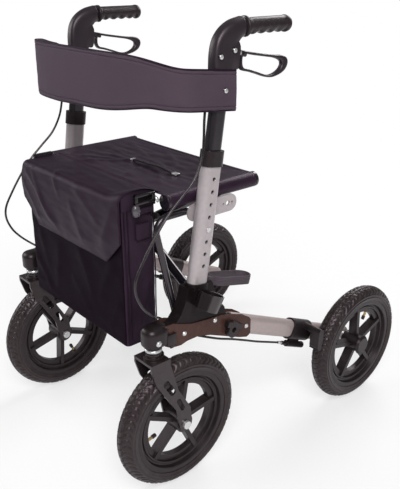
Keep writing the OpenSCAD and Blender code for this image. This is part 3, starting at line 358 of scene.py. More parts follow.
def startMaterial(name):
    material = bpy.data.materials.new(name)
    material.use_nodes = True
    return material, material.node_tree, material.node_tree.nodes["Principled BSDF"]


def grey(value, tint):
    return (value * tint[0], value * tint[1], value * tint[2], 1.0)


surfaceSet = {
    "dust": (0.30, 0.28, 0.26, 1.0), "clothDust": (0.22, 0.19, 0.22, 1.0), "clothDustScale": 60.0,
    "glint": (1.0, 0.84, 0.9, 1.0), "clothGlint": (1.0, 0.6, 1.0, 1.0), "sheen": (0.8, 0.6, 0.85, 1.0),
    "sheenRough": 0.4, "coatRough": 0.12, "edgeRadius": 0.0012, "grainDepth": 0.0003, "threadDepth": 0.0004,
    "threadPale": 0.35, "wearPale": (1.6, 0.02),
}


def mouldedFinish(name, dark, pale, rough, bump, grain, coat, dust, wear, metal, shine):
    # plastic, rubber or paint: mottled colour, grain, rubbed edges and a little dust
    material, tree, shader = startMaterial(name)
    fine = placeGroup(tree, grainGroup, Grain_Scale=grain)
    rub = placeGroup(tree, wearGroup, Amount=wear)["Mask"]
    film = placeGroup(tree, dustGroup, Amount=dust)["Mask"]
    gain, lift = surfaceSet["wearPale"]
    worn = tuple(min(1, c * gain + lift) for c in pale[:3]) + (1.0,)
    colour = mixColour(tree, rub, mixColour(tree, fine["Mottle"], dark, pale), worn)
    roundEdge = addNode(tree, "ShaderNodeBevel", {"Radius": surfaceSet["edgeRadius"]}, samples=4).outputs["Normal"]
    feed(tree, shader, {
        "Base Color": mixColour(tree, film, colour, surfaceSet["dust"]),
        "Roughness": mapValue(tree, fine["Mottle"], 0.3, 0.7, rough - 0.05, rough + 0.06),
        "Metallic": metal,
        "Specular IOR Level": shine,
        "Specular Tint": surfaceSet["glint"],
        "Coat Weight": coat,
        "Coat Roughness": surfaceSet["coatRough"],
        "Normal": addBump(tree, fine["Height"], bump, surfaceSet["grainDepth"], roundEdge),
    })
    return material


def clothFinish(name, dark, pale, rough, thread, bump, sheen, dust, shine):
    # woven cloth: faded colour, paler threads, a low sheen and a little dust
    material, tree, shader = startMaterial(name)
    weave = placeGroup(tree, weaveGroup, Thread_Scale=thread)
    film = placeGroup(tree, dustGroup, Amount=dust, Scale=surfaceSet["clothDustScale"])["Mask"]
    colour = mixColour(tree, weave["Fade"], dark, pale)
    thin = math2(tree, "MULTIPLY", weave["Height"], surfaceSet["threadPale"])
    colour = mixColour(tree, thin, colour, pale)
    feed(tree, shader, {
        "Base Color": mixColour(tree, film, colour, surfaceSet["clothDust"]),
        "Roughness": mapValue(tree, weave["Fade"], 0.3, 0.7, rough - 0.07, rough + 0.07),
        "Specular IOR Level": shine,
        "Specular Tint": surfaceSet["clothGlint"],
        "Sheen Weight": sheen,
        "Sheen Roughness": surfaceSet["sheenRough"],
        "Sheen Tint": surfaceSet["sheen"],
        "Normal": addBump(tree, weave["Height"], bump, surfaceSet["threadDepth"]),
    })
    return material


def makeFinishes():
    cool = (1.0, 0.95, 1.06)
    warm = (1.0, 0.90, 0.92)
    plum = (1.16, 0.62, 1.18)
    brown = (1.25, 0.86, 0.91)
    earth = (1.7, 0.78, 0.62)
    moulded = {
        # name: dark, pale, tint, roughness, bump, grain, coat, dust, wear, metal, shine
        "silverTube": (0.40, 0.46, warm, 0.34, 0.06, 2400, 0.25, 0.02, 0.15, 0.3, 0.5),
        "railTube": (0.36, 0.42, (1.0, 0.83, 0.81), 0.34, 0.06, 2400, 0.25, 0.02, 0.15, 0.3, 0.5),
        "housingPlastic": (0.004, 0.009, brown, 0.4, 0.2, 1300, 0.0, 0.02, 0.2, 0.0, 0.16),
        "cupPlastic": (0.004, 0.010, brown, 0.1, 0.02, 1300, 0.6, 0.01, 0.2, 0.0, 0.5),
        "glossTube": (0.007, 0.013, (1.05, 0.88, 1.25), 0.2, 0.03, 2000, 0.4, 0.02, 0.1, 0.0, 0.5),
        "blackPlastic": (0.006, 0.011, brown, 0.36, 0.3, 1300, 0.0, 0.03, 0.2, 0.0, 0.4),
        "elbowPlastic": (0.011, 0.019, (1.12, 0.84, 1.08), 0.4, 0.08, 1300, 0.0, 0.02, 0.1, 0.0, 0.55),
        "forkPaint": (0.010, 0.018, brown, 0.28, 0.15, 1500, 0.2, 0.03, 0.3, 0.0, 0.4),
        "brownPlate": (0.022, 0.046, earth, 0.24, 0.03, 1500, 0.05, 0.01, 0.2, 0.0, 0.12),
        "rimPlastic": (0.006, 0.012, brown, 0.34, 0.25, 1200, 0.0, 0.05, 0.3, 0.0, 0.4),
        # rubbed-edge paling on the tread: real wear, and also a painted highlight that sets its ridges paler than
        # its grooves
        "tyreRubber": (0.011, 0.020, brown, 0.36, 0.3, 900, 0.0, 0.10, 0.35, 0.0, 0.4),
        "gripRubber": (0.012, 0.022, (1.14, 0.85, 0.98), 0.36, 0.35, 1000, 0.0, 0.03, 0.15, 0.0, 0.4),
        "cableJacket": (0.008, 0.012, cool, 0.3, 0.05, 1500, 0.2, 0.02, 0.05, 0.0, 0.5),
        "steel": (0.62, 0.72, (1, 1, 1), 0.3, 0.1, 1800, 0.0, 0.02, 0.2, 0.7, 0.5),
        "brass": (0.40, 0.52, (1.0, 0.74, 0.34), 0.35, 0.1, 1800, 0.0, 0.05, 0.2, 1.0, 0.5),
        "buckle": (0.005, 0.009, cool, 0.22, 0.06, 1300, 0.25, 0.02, 0.2, 0.0, 0.5),
        "paleTab": (0.055, 0.080, (1.05, 0.95, 1.1), 0.16, 0.05, 1300, 0.5, 0.02, 0.2, 0.0, 0.5),
    }
    cloth = {
        # name: dark, pale, tint, roughness, thread, bump, sheen, dust, shine
        # the bag's front nylon, painted darker than its sides and flap as painted shade on the front
        "bagNylon": (0.004, 0.010, plum, 0.46, 1100, 0.25, 0.003, 0.004, 0.015),
        # the same nylon painted paler for the bag's sides, painted light as if the sides were lit more than the
        # front
        "bagSideNylon": (0.014, 0.030, (1.1, 0.68, 1.12), 0.42, 1100, 0.25, 0.02, 0.01, 0.15),
        # the same nylon painted paler for the flap, painted light where it faces up
        "flapNylon": (0.010, 0.019, plum, 0.40, 1100, 0.25, 0.012, 0.012, 0.12),
        # the seat's nylon, painted paler as painted light on its upward face
        "seatNylon": (0.013, 0.025, plum, 0.36, 1000, 0.25, 0.012, 0.012, 0.17),
        "bandCloth": (0.048, 0.074, (1.12, 0.83, 1.08), 0.75, 650, 0.6, 0.04, 0.04, 0.2),
        "binding": (0.008, 0.014, plum, 0.5, 900, 0.4, 0.01, 0.01, 0.15),
        "piping": (0.006, 0.011, plum, 0.55, 900, 0.4, 0.01, 0.02, 0.2),
        "webbing": (0.006, 0.011, cool, 0.55, 420, 0.9, 0.02, 0.02, 0.25),
        "paleWebbing": (0.052, 0.085, (1.06, 0.9, 1.0), 0.5, 420, 0.9, 0.03, 0.02, 0.25),
    }
    made = {}
    for name, (dark, pale, tint, *rest) in moulded.items():
        made[name] = mouldedFinish(name, grey(dark, tint), grey(pale, tint), *rest)
    for name, (dark, pale, tint, *rest) in cloth.items():
        made[name] = clothFinish(name, grey(dark, tint), grey(pale, tint), *rest)
    return made


finishes = makeFinishes()
print("finishes made")


def paint(obj, finish):
    obj.data.materials.clear()
    obj.data.materials.append(finishes[finish])


def addPiece(name, shape, body, finish, slotName, *replaced, smooth=True, sheet=0, edge=0, edgeAngle=35, sharp=0):
    # sheet is the thickness given to a surface, edge a rounding, sharp the angle from which edges stay crisp
    obj = makeMesh(name, *shape, smooth)
    facesOut(obj)
    if sheet:
        thicken(obj, sheet)
    if edge:
        softenEdges(obj, edge, edgeAngle)
    if sharp:
        keepSharp(obj, sharp)
    paint(obj, finish)
    if replaced:
        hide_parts(*replaced)
    if body:
        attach(obj, body)
    return obj


# camera, light and floor

cameraSet = {
    "place": (1.16085, -0.99235, 1.03474),
    "yaw": 49.2555,
    "pitch": 22.632,
    "roll": -0.149,
    "lens": 48.97,
}


def makeCamera(c):
    data = bpy.data.cameras.new("photoCamera")
    data.lens = c["lens"]
    data.sensor_width = 36
    camera = bpy.data.objects.new("photoCamera", data)
    bpy.context.scene.collection.objects.link(camera)
    yaw, pitch, roll = (radians(c[k]) for k in ("yaw", "pitch", "roll"))
    forward = Vector((-sin(yaw) * cos(pitch), cos(yaw) * cos(pitch), -sin(pitch)))
    right = Vector((cos(yaw), sin(yaw), 0))
    up = right.cross(forward)
    turn = Matrix((right, up, -forward)).transposed().to_4x4() @ Matrix.Rotation(roll, 4, "Z")
    camera.matrix_world = Matrix.Translation(c["place"]) @ turn
    bpy.context.scene.camera = camera


lightSet = {
    "world": 0.2,
    "key": {"place": (2.3, -1.75, 3.0), "size": 1.8, "power": 116},
    "fill": {"place": (-2.6, -1.6, 1.7), "size": 1.6, "power": 30},
    "rim": {"place": (-0.6, 2.6, 2.4), "size": 1.6, "power": 60},
    "target": (0.0, 0.0, 0.42),
}


def makeLights(c):
    scene = bpy.context.scene
    scene.view_settings.view_transform = "Standard"
    world = bpy.data.worlds.new("studio")
    scene.world = world
    world.use_nodes = True
    tree = world.node_tree
    tree.nodes.clear()
    soft = addNode(tree, "ShaderNodeBackground", {"Color": white, "Strength": c["world"]}).outputs[0]
    plain = addNode(tree, "ShaderNodeBackground", {"Color": white}).outputs[0]
    seen = addNode(tree, "ShaderNodeLightPath").outputs["Is Camera Ray"]
    mix = addNode(tree, "ShaderNodeMixShader", {0: seen, 1: soft, 2: plain}).outputs[0]
    addNode(tree, "ShaderNodeOutputWorld", {"Surface": mix})
    for name in ("key", "fill", "rim"):
        lamp = bpy.data.lights.new(name, "AREA")
        lamp.energy = c[name]["power"]
        lamp.size = c[name]["size"]
        obj = bpy.data.objects.new(name, lamp)
        obj.location = c[name]["place"]
        aim = Vector(c["target"]) - Vector(c[name]["place"])
        obj.rotation_euler = aim.to_track_quat("-Z", "Y").to_euler()
        scene.collection.objects.link(obj)


floorSet = {
    "size": 14.0, "level": -0.0005, "colour": (0.92, 0.92, 0.92, 1.0), "rough": 0.9,
    "shadow": 0.42, "near": 0.55, "far": 1.5,
}


def makeFloor(c):
    # plain white to the camera, with the shadow let through near the part
    h, z = c["size"] / 2, c["level"]
    floor = makeMesh("floor", [(-h, -h, z), (h, -h, z), (h, h, z), (-h, h, z)], [(0, 1, 2, 3)])
    material, tree, shader = startMaterial("floorPaper")
    feed(tree, shader, {"Base Color": c["colour"], "Roughness": c["rough"]})
    glow = addNode(tree, "ShaderNodeEmission", {"Color": white}).outputs[0]
    seen = addNode(tree, "ShaderNodeLightPath").outputs["Is Camera Ray"]
    place = addNode(tree, "ShaderNodeTexCoord").outputs["Object"]
    reach = addNode(tree, "ShaderNodeVectorMath", {0: place}, operation="LENGTH").outputs["Value"]
    share = math2(tree, "MULTIPLY", seen, mapValue(tree, reach, c["near"], c["far"], 1 - c["shadow"], 1.0))
    mix = addNode(tree, "ShaderNodeMixShader", {0: share, 1: shader.outputs[0], 2: glow}).outputs[0]
    feed(tree, tree.nodes["Material Output"], {"Surface": mix})
    floor.data.materials.append(material)


makeCamera(cameraSet)
makeLights(lightSet)
makeFloor(floorSet)
print("camera, light and floor made")


# brake cables

cableSet = {
    "diameter": 0.005, "ferrule": 0.0037,
    "route": [
        (251, -173, 868), (251, -186, 848), (251, -192, 820), (252, -198, 780), (256, -203, 744), (260, -211, 708),
        (262, -232, 672), (262, -264, 644), (262, -296, 616), (262, -324, 584), (262, -350, 548), (262, -370, 514),
        (262, -373, 486), (262, -362, 456), (260, -344, 432), (250, -324, 413), (232, -308, 401), (224, -290, 388),
        (223, -268, 370), (223, -246, 352), (224, -226, 336), (232, -206, 322), (243, -182, 312), (246, -150, 297),
        (246, -112, 281), (246, -73, 263), (246, -32, 243.5), (246, 10, 225.5), (246, 51, 208),
    ],
    "moving": (0.62, 0.80),
}


def makeCables(c):
    for side, sign in sides:
        path = curvePoints([mm(sign * x, y, z) for x, y, z in c["route"]], 8)
        shape = tubeParts(path, c["diameter"] / 2, 12)
        cable = addPiece(side + "_cable", shape, None, "cableJacket", "cable_jacket", side + "_brake_cable")
        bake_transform(cable)
        addPiece(side + "_cable_end", tubeParts(path[-4:], c["ferrule"], 16), side + "_frame", "steel", "steel")


makeCables(cableSet)
print("cables made")


# finishes of the pieces that keep their solid shape

solidSet = {
    "pairs": {
        "silverTube": ("post", "seat_bracket"), "railTube": ("rail",), "brownPlate": ("rail_plates",),
        "glossTube": ("bag_stay", "handle_tube", "seat_rail"), "housingPlastic": ("housing",),
        "blackPlastic": ("collar", "brake_carrier", "cable_guide", "brake_arm"), "forkPaint": ("fork",),
        "steel": ("frame_fasteners", "fork_fasteners"), "buckle": ("handle_fasteners",),
        "rimPlastic": ("front_rim", "rear_rim"),
    },
    "single": {"glossTube": ("brace_a", "brace_b"), "cupPlastic": ("stick_cup",)},
}


def paintSolids(c):
    for group, starts in (("pairs", [side + "_" for side, sign in sides]), ("single", [""])):
        for finish, names in c[group].items():
            for name in names:
                for start in starts:
                    paint(nodes[start + name], finish)


paintSolids(solidSet)
print("solids painted")


# tyres

tyreSet = {
    "radius": 0.150, "width": 0.046, "bead": 0.118, "beadHalf": 0.7, "turns": 512, "profile": 44, "sharp": 38,
    "frontX": 0.246, "frontY": -0.269, "rearX": 0.297, "rearY": 0.269, "axleZ": 0.150,
    "groove": 0.0019, "pitch": 32, "line": 0.2, "lineHalf": 0.06, "lineSoft": 0.03, "wave": 0.03,
    "curl": 0.42, "curlRate": 5.2, "lugs": (0.12, 0.05), "sipes": (0.07, 0.04), "sipeShift": 0.46,
    "middle": 0.12, "middleCuts": (0.10, 0.06), "shoulder": 0.84, "shoulderSoft": 0.10,
    "rings": [(0.86, 0.0012), (0.93, 0.0008), (1.02, 0.0016), (1.1, 0.0010)], "ringWidth": 0.02,
}


def wheelCentre(sign, end):
    return Vector((sign * tyreSet[end + "X"], tyreSet[end + "Y"], tyreSet["axleZ"]))


def grooveDepth(at, half, soft):
    # share of the depth in a groove that comes back with each turn of at
    return (half - abs(at % 1 - 0.5)) / soft


def treadCut(c, a, s):
    # s runs from -1 to 1 across the tread's arc, a is the angle round the wheel
    phase = a * c["pitch"] / (2 * pi)
    side = abs(s)
    wave = c["wave"] * sin(4 * pi * phase)
    cut = max((c["lineHalf"] - abs(s - line - wave)) / c["lineSoft"] for line in (-c["line"], c["line"]))
    if side > c["line"]:
        curl = phase + (0.5 if s > 0 else 0) + c["curl"] * sin((side - c["line"]) * c["curlRate"])
        cut = max(cut, grooveDepth(curl, *c["lugs"]), 0.8 * grooveDepth(curl + c["sipeShift"], *c["sipes"]))
    elif side < c["middle"]:
        cut = max(cut, 0.7 * grooveDepth(phase * 2 + 0.25 + s, *c["middleCuts"]))
    return c["groove"] * clamp(cut) * smoothStep((c["shoulder"] - side) / c["shoulderSoft"])


def makeTyres(c):
    half = c["width"] / 2
    crown = c["radius"] - half
    low = asin((crown - c["bead"]) / half)
    for side, sign in sides:
        for end in ("front", "rear"):
            centre = wheelCentre(sign, end)
            rings = []
            for k in range(c["turns"]):
                a = 2 * pi * k / c["turns"]
                out = Vector((0, cos(a), sin(a)))
                ring = []
                for j in range(c["profile"] + 1):
                    t = lerp(-pi / 2 - low, pi / 2 + low, j / c["profile"])
                    s = t / (pi / 2)
                    r = half - treadCut(c, a, s)
                    for line, high in c["rings"]:
                        r += high * exp(-((abs(s) - line) / c["ringWidth"]) ** 2)
                    ring.append(centre + Vector((sign * r * sin(t), 0, 0)) + out * (crown + r * cos(t)))
                for x in (c["beadHalf"], -c["beadHalf"]):
                    ring.append(centre + Vector((sign * x * half, 0, 0)) + out * c["bead"])
                rings.append(ring)
            addPiece(f"{side}_{end}_tread", loftRings(rings, True, True), f"{side}_{end}_wheel", "tyreRubber",
                     "tyre_rubber", f"{side}_{end}_tyre", sharp=c["sharp"])


makeTyres(tyreSet)
print("tyres made")


# bag with its flap

def foldHeight(folds, x, s):
    # long ridges of a creased sheet, each with its two ends, height and width in millimetres
    past, fade = 0.12, 0.3
    total = 0.0
    for x0, s0, x1, s1, high, wide in folds:
        dx, ds = x1 - x0, s1 - s0
        reach = hypot(dx, ds)
        t = ((x - x0) * dx + (s - s0) * ds) / reach ** 2
        away = abs((x - x0) * ds - (s - s0) * dx) / reach
        ends = smoothStep((t + past) / fade) * smoothStep((1 + past - t) / fade)
        total += high * exp(-(away / wide) ** 1.5) * ends
    return total / 1000


bagSet = {
    "half": 0.1875, "low": 0.322, "high": 0.633, "rear": -0.268, "front": -0.3475, "round": 0.009, "rows": 64,
    "fade": 0.03, "crumple": 0.0016, "belly": 0.0015, "sideIn": 0.002,
    "frontFolds": [
        (-180, 420, -110, 345, 2.6, 11), (-150, 500, -120, 400, 2.0, 12), (-60, 480, -90, 350, 2.2, 14),
        (20, 500, 70, 390, 2.4, 16), (150, 500, 90, 400, 2.8, 13), (170, 420, 120, 340, 2.2, 10),
        (-20, 420, 60, 345, 1.8, 12), (-185, 360, -60, 335, 1.6, 9),
    ],
    "sideFolds": [
        (-335, 480, -300, 380, 2.4, 9), (-285, 470, -315, 350, 2.6, 8), (-330, 560, -290, 500, 1.8, 9),
        (-300, 400, -278, 330, 2.4, 7),
    ],
}

flapSet = {
    "half": 0.188, "rear": -0.258, "front": -0.3515, "top": 0.6372, "drop": 0.130, "corner": 0.052, "bend": 0.013,
    "across": 88, "down": 72, "thick": 0.002, "tuck": 0.0016, "tuckFade": 0.02, "lift": 0.015, "arch": 0.012,
    "liftAt": 0.72, "puff": 0.010, "puffAt": 0.75, "puffRise": 0.03, "puffEnd": 0.05, "puffFade": 0.06,
    "belly": 0.004, "lidShare": 0.5, "frontShare": 0.9, "binding": 0.0013, "bindingStep": 0.0035,
    "gusset": {"near": 0.1845, "far": 0.1865, "low": 0.615, "start": 0.008, "stop": 0.006, "steps": 30},
    "ripples": [(0.0009, 1, 0, 0.03, 21.0), (0.0011, 0.3, 0.01, 0.012, 17.0)],
    "folds": [
        (-178, 95, -40, 215, 3.2, 9), (-150, 90, -75, 200, 2.4, 8), (-70, 60, -30, 130, 2.2, 8),
        (30, 95, 120, 150, 2.0, 10), (-185, 130, -120, 210, 2.2, 9), (170, 100, 120, 200, 2.6, 12),
        (90, 190, -20, 215, 2.0, 12), (60, 60, 175, 75, 1.8, 8), (-120, 30, 60, 55, 1.8, 8),
        (-175, 20, -20, 70, 2.2, 8), (0, 15, 140, 30, 1.6, 7), (10, 130, 60, 205, 2.0, 11),
    ],
}


def roundedRing(half, front, rear, radius, longCount=56, shortCount=14):
    # points of a rounded oblong with the normal of each, counter-clockwise from the front's right end
    x, low, high = half - radius, front + radius, rear - radius
    corners = ((x, low), (x, high), (-x, high), (-x, low))
    points = []
    for i, (x0, y0) in enumerate(corners):
        x1, y1 = corners[(i + 1) % 4]
        count = longCount if i % 2 else shortCount
        steps = [(i - 1 + k / 5, 0) for k in range(6)] + [(i, k / count) for k in range(1, count)]
        for turn, t in steps:
            nx, ny = cos(turn * pi / 2), sin(turn * pi / 2)
            points.append((lerp(x0, x1, t) + radius * nx, lerp(y0, y1, t) + radius * ny, nx, ny))
    return points


def bagSide(c, y, z):
    # outward place of the side panels
    swell = c["belly"] * sin(pi * clamp((z - c["low"]) / (c["high"] - c["low"])))
    return swell + foldHeight(c["sideFolds"], y * 1000, z * 1000) - c["sideIn"]


def bagPiece(name, shape, *rest, **form):
    obj = addPiece(name, shape, "left_frame", *rest, **form)
    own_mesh(obj)
    return obj


def makeBag(c):
    rings = []
    for j in range(c["rows"] + 1):
        t = j / c["rows"]
        z = lerp(c["low"], c["high"], lerp(t, smoothStep(t), 0.35))
        down = min(z - c["low"], c["high"] - z)
        edge = roundIn(down, c["round"])
        away = smoothStep(down / c["fade"])
        ring = []
        for x, y, nx, ny in roundedRing(c["half"] - edge, c["front"] + edge, c["rear"] - edge, c["round"]):
            push = c["crumple"] * wrinkle((x, y, z * 1.6), 0.05, 3.0) - c["crumple"]
            if ny < -0.7:
                push += foldHeight(c["frontFolds"], x * 1000, z * 1000)
            elif abs(nx) > 0.7:
                push += bagSide(c, y, z)
            ring.append(Vector((x + nx * push * away, y + ny * push * away, z)))
        rings.append(ring)
    # the front and lid take the nylon painted darker as painted shade
    bag = bagPiece("bag_shell", loftRings(rings), "bagNylon", "bag_nylon", "bag")
    # faces turned to the sides take the nylon painted paler as painted light
    bag.data.materials.append(finishes["bagSideNylon"])
    for face in bag.data.polygons:
        if abs(face.normal.x) > 0.7:
            face.material_index = 1


def flapArch(c, s):
    # share of the lid's lift at a path length from the rear edge
    return sin(pi * clamp(s / (c["rear"] - c["front"] + c["arch"]))) ** 0.7


def flapPoint(c, x, v):
    # v runs from 0 at the rear edge over the lid to 1 at the lower edge
    half, bend, lid = c["half"], c["bend"], c["rear"] - c["front"]
    fall = c["drop"] - max(0, abs(x) - half + c["corner"])
    s = v * (lid + fall)
    start = smoothStep(s / c["tuckFade"])
    bent = lid + bend * (pi / 2 - 1)
    if s < lid - bend:
        p = Vector((x, c["rear"] - s, c["top"]))
        out = Vector((0, 0, 1))
    elif s < bent:
        a = (s - lid + bend) / bend
        p = Vector((x, c["front"] + bend - bend * sin(a), c["top"] - bend + bend * cos(a)))
        out = Vector((0, -sin(a), cos(a)))
    else:
        p = Vector((x, c["front"], c["top"] - bend - (s - bent)))
        out = Vector((0, -1, 0))
    puff = c["puff"] * smoothStep((-x / half - c["puffAt"]) / (1 - c["puffAt"]))
    p.x -= puff * smoothStep((s - lid) / c["puffRise"]) * (1 - smoothStep((s - lid - c["puffEnd"]) / c["puffFade"]))
    lift = c["lift"] * smoothStep((x / half - c["liftAt"]) / (1 - c["liftAt"]))
    p.z += lift * flapArch(c, s) - c["tuck"] * (1 - start)
    push = foldHeight(c["folds"], x * 1000, s * 1000) + ripples(c["ripples"], x, s)
    push += c["belly"] * sin(pi * clamp((s - lid) / fall)) * (1 - (x / half) ** 4)
    return p + out * max(0, push) * start * c["lidShare" if s < lid - bend else "frontShare"]


def makeFlap(c):
    across, down = c["across"], c["down"]
    rows = [[flapPoint(c, c["half"] * (2 * i / across - 1), j / down) for i in range(across + 1)]
            for j in range(down + 1)]
    # the flap takes the nylon painted paler as painted light on an upward sheet
    flap = bagPiece("bag_cover", loftRings(rows, False), "flapNylon", "bag_nylon", "bag_flap", sheet=c["thick"])
    g = c["gusset"]
    near, far, low = g["near"], g["far"], g["low"]
    rings = []
    for k in range(g["steps"] + 1):
        s = lerp(g["start"], c["rear"] - c["front"] - g["stop"], k / g["steps"])
        high = c["top"] + c["lift"] * flapArch(c, s) - c["thick"]
        corners = ((near, low), (near, high), (far, high), (far, low))
        rings.append([Vector((x, c["rear"] - s, z)) for x, z in corners])
    # the gusset carries on the side panel in the nylon painted paler as painted light
    bagPiece("bag_gusset", loftRings(rings), "bagSideNylon", "bag_nylon", smooth=False)
    edge = [row[0] for row in rows] + rows[-1][1:] + [row[-1] for row in reversed(rows[:-1])]
    welt = tubeParts(spaced(edge, c["bindingStep"]), c["binding"], 8)
    bagPiece("bag_cover_binding", welt, "binding", "bag_nylon")


makeBag(bagSet)
makeFlap(flapSet)
print("bag made")


# seat

seatSet = {
    "railX": 0.2125, "railZ": 0.623, "radius": 0.0152, "wrap": 100, "front": -0.2655, "rear": -0.033, "sag": 0.003,
    "across": 96, "along": 60, "thick": 0.0016, "crease": 1.4, "hemDrop": 0.0012, "hemIn": 0.006,
    "stitch": 0.0009, "stitchRise": 0.0006, "stitchStep": 0.004, "stitchEnds": 18,
    "ripples": [(0.002, 1, 0, 0.035, 5.0), (0.0022, 0.22, 0.01, 0.013, 9.0)],
    "folds": [
        (-30, -163, -200, -262, 2.4, 7), (-30, -163, -120, -262, 2.0, 6), (-40, -160, -205, -200, 1.8, 7),
        (20, -175, 60, -262, 1.6, 7), (90, -180, 190, -255, 2.0, 8), (125, -165, 205, -190, 1.6, 7),
        (-190, -60, -40, -120, 1.8, 9), (-60, -50, 60, -110, 1.6, 8), (60, -60, 195, -90, 1.6, 8),
        (-195, -130, -60, -150, 1.4, 6), (130, -120, 200, -150, 1.4, 7), (-150, -225, 30, -240, 1.4, 6),
    ],
}


def seatPiece(name, shape, *rest, **form):
    obj = addPiece(name, shape, None, *rest, **form)
    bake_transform(obj)
    return obj


def makeSeat(c):
    line = []
    for k in range(15):
        a = radians(lerp(-c["wrap"], c["wrap"], k / 14))
        line.append((c["railX"] + c["radius"] * cos(a), c["railZ"] + c["radius"] * sin(a)))
    edgeX, edgeZ = line[-1]
    middle = [(lerp(edgeX, -edgeX, k / c["across"]), edgeZ) for k in range(1, c["across"])]
    line += middle + [(-x, z) for x, z in reversed(line)]
    rows = []
    for j in range(c["along"] + 1):
        y = lerp(c["front"], c["rear"], j / c["along"])
        ends = sin(pi * j / c["along"])
        hem = c["hemDrop"] * (1 - smoothStep((y - c["front"]) / c["hemIn"]))
        row = []
        for x, z in line:
            inside = max(0, 1 - (abs(x) / edgeX) ** 4)
            fold = c["crease"] * foldHeight(c["folds"], x * 1000, y * 1000) + ripples(c["ripples"], x, y)
            row.append(Vector((x, y, z + (fold * ends ** 0.5 - c["sag"] * (0.3 + 0.7 * ends) - hem) * inside)))
        rows.append(row)
    # the seat takes its nylon painted paler as painted light from above
    seat = seatPiece("seat_sling", loftRings(rows, False), "seatNylon", "seat_nylon", "seat_cloth", sheet=c["thick"])
    rise = Vector((0, 0, c["stitchRise"]))
    for name, y in (("front", c["front"] + c["hemIn"]), ("rear", c["rear"] - c["hemIn"])):
        row = min(rows, key=lambda points: abs(points[0].y - y))
        points = [p + rise for p in row[c["stitchEnds"]:-c["stitchEnds"]]]
        stitch = tubeParts(spaced(points, c["stitchStep"]), c["stitch"], 6)
        seatPiece("seat_hem_" + name, stitch, "piping", "seat_nylon")


strapSet = {
    "x": 0.048, "y": -0.163, "z": 0.6392, "length": 0.164, "width": 0.009, "thick": 0.0024, "arch": 0.0042,
    "wave": 0.0008, "cup": 0.0004, "steps": 36, "across": 4,
    "clip": 0.016, "clipWide": 0.62, "clipLow": 0.0015, "clipHigh": 0.0026, "clipEdge": 0.0009,
}


def makeStrap(c):
    rows = []
    for i in range(c["steps"] + 1):
        t = 2 * i / c["steps"] - 1
        z = c["z"] + c["arch"] * (1 - t * t) + c["wave"] * sin(6 * t)
        row = []
        for k in range(c["across"] + 1):
            w = 2 * k / c["across"] - 1
            row.append(Vector((c["x"] + t * c["length"] / 2, c["y"] + w * c["width"] / 2, z - c["cup"] * w * w)))
        rows.append(row)
    seatPiece("seat_pull_strap", loftRings(rows, False), "webbing", "webbing", "seat_strap", sheet=c["thick"])
    parts = []
    w = c["width"] * c["clipWide"]
    for e, share in ((-1, 0.6), (1, 1.0)):
        a = c["x"] + e * c["length"] / 2
        b = a - e * c["clip"] * share
        parts.append(boxParts((a, c["y"] - w, c["z"] - c["clipLow"]), (b, c["y"] + w, c["z"] + c["clipHigh"])))
    seatPiece("seat_strap_clips", joinParts(parts), "steel", "steel", edge=c["clipEdge"])


makeSeat(seatSet)
makeStrap(strapSet)
print("seat made")


# backrest band

bandSet = {
    "x": 0.2568, "thick": 0.005, "endY": -0.128, "turnY": -0.205, "bow": 0.087, "power": 3.5, "steps": 72,
    "midY": -0.1555, "midZ": 0.8266, "slope": 0.1, "height": 0.073, "rise": 0.014, "drop": 0.028, "straight": 0.3,
    "slide": 0.375, "taper": 0.46, "topReach": 0.975, "lowReach": 0.725, "end": 0.2,
    "piping": 0.0024, "pipingIn": 0.0006, "sharp": 50, "hem": 0.012,
    "face": [(0.0, 0.0), (0.5, 0.0), (0.85, 0.0012), (1.0, 0.0040), (1.0, 0.0062), (0.74, 0.0074), (1.0, 0.0086)],
    "soft": [(0.0013, 0.045, 13.0), (0.0006, 0.014, 4.0)],
}


def bandPlace(c, u):
    # u runs from 1 at the left end to -1 at the right end; gives x, y, top and low
    t = 1 - abs(u)
    if t < c["straight"]:
        x, y = c["x"], lerp(c["endY"], c["turnY"], t / c["straight"])
    else:
        a = pi / 2 * (t - c["straight"]) / (1 - c["straight"])
        x, y = c["x"] * bulge(cos(a), c["power"]), c["turnY"] - c["bow"] * bulge(sin(a), c["power"])
    mid = c["midZ"] + c["slope"] * (c["midY"] - y)
    top, low = (smoothStep((reach - abs(u + c["slide"])) / c["taper"]) * smoothStep(t / c["end"] - 1)
                for reach in (c["topReach"], c["lowReach"]))
    x = copysign(x, u) if u else 0.0
    return x, y, mid + c["height"] / 2 + c["rise"] * top, mid - c["height"] / 2 - c["drop"] * low


def bandPiece(name, shape, finish, *rest, **form):
    obj = addPiece(name, shape, "left_handle", finish, "band_fabric", *rest, **form)
    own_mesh(obj)
    return obj


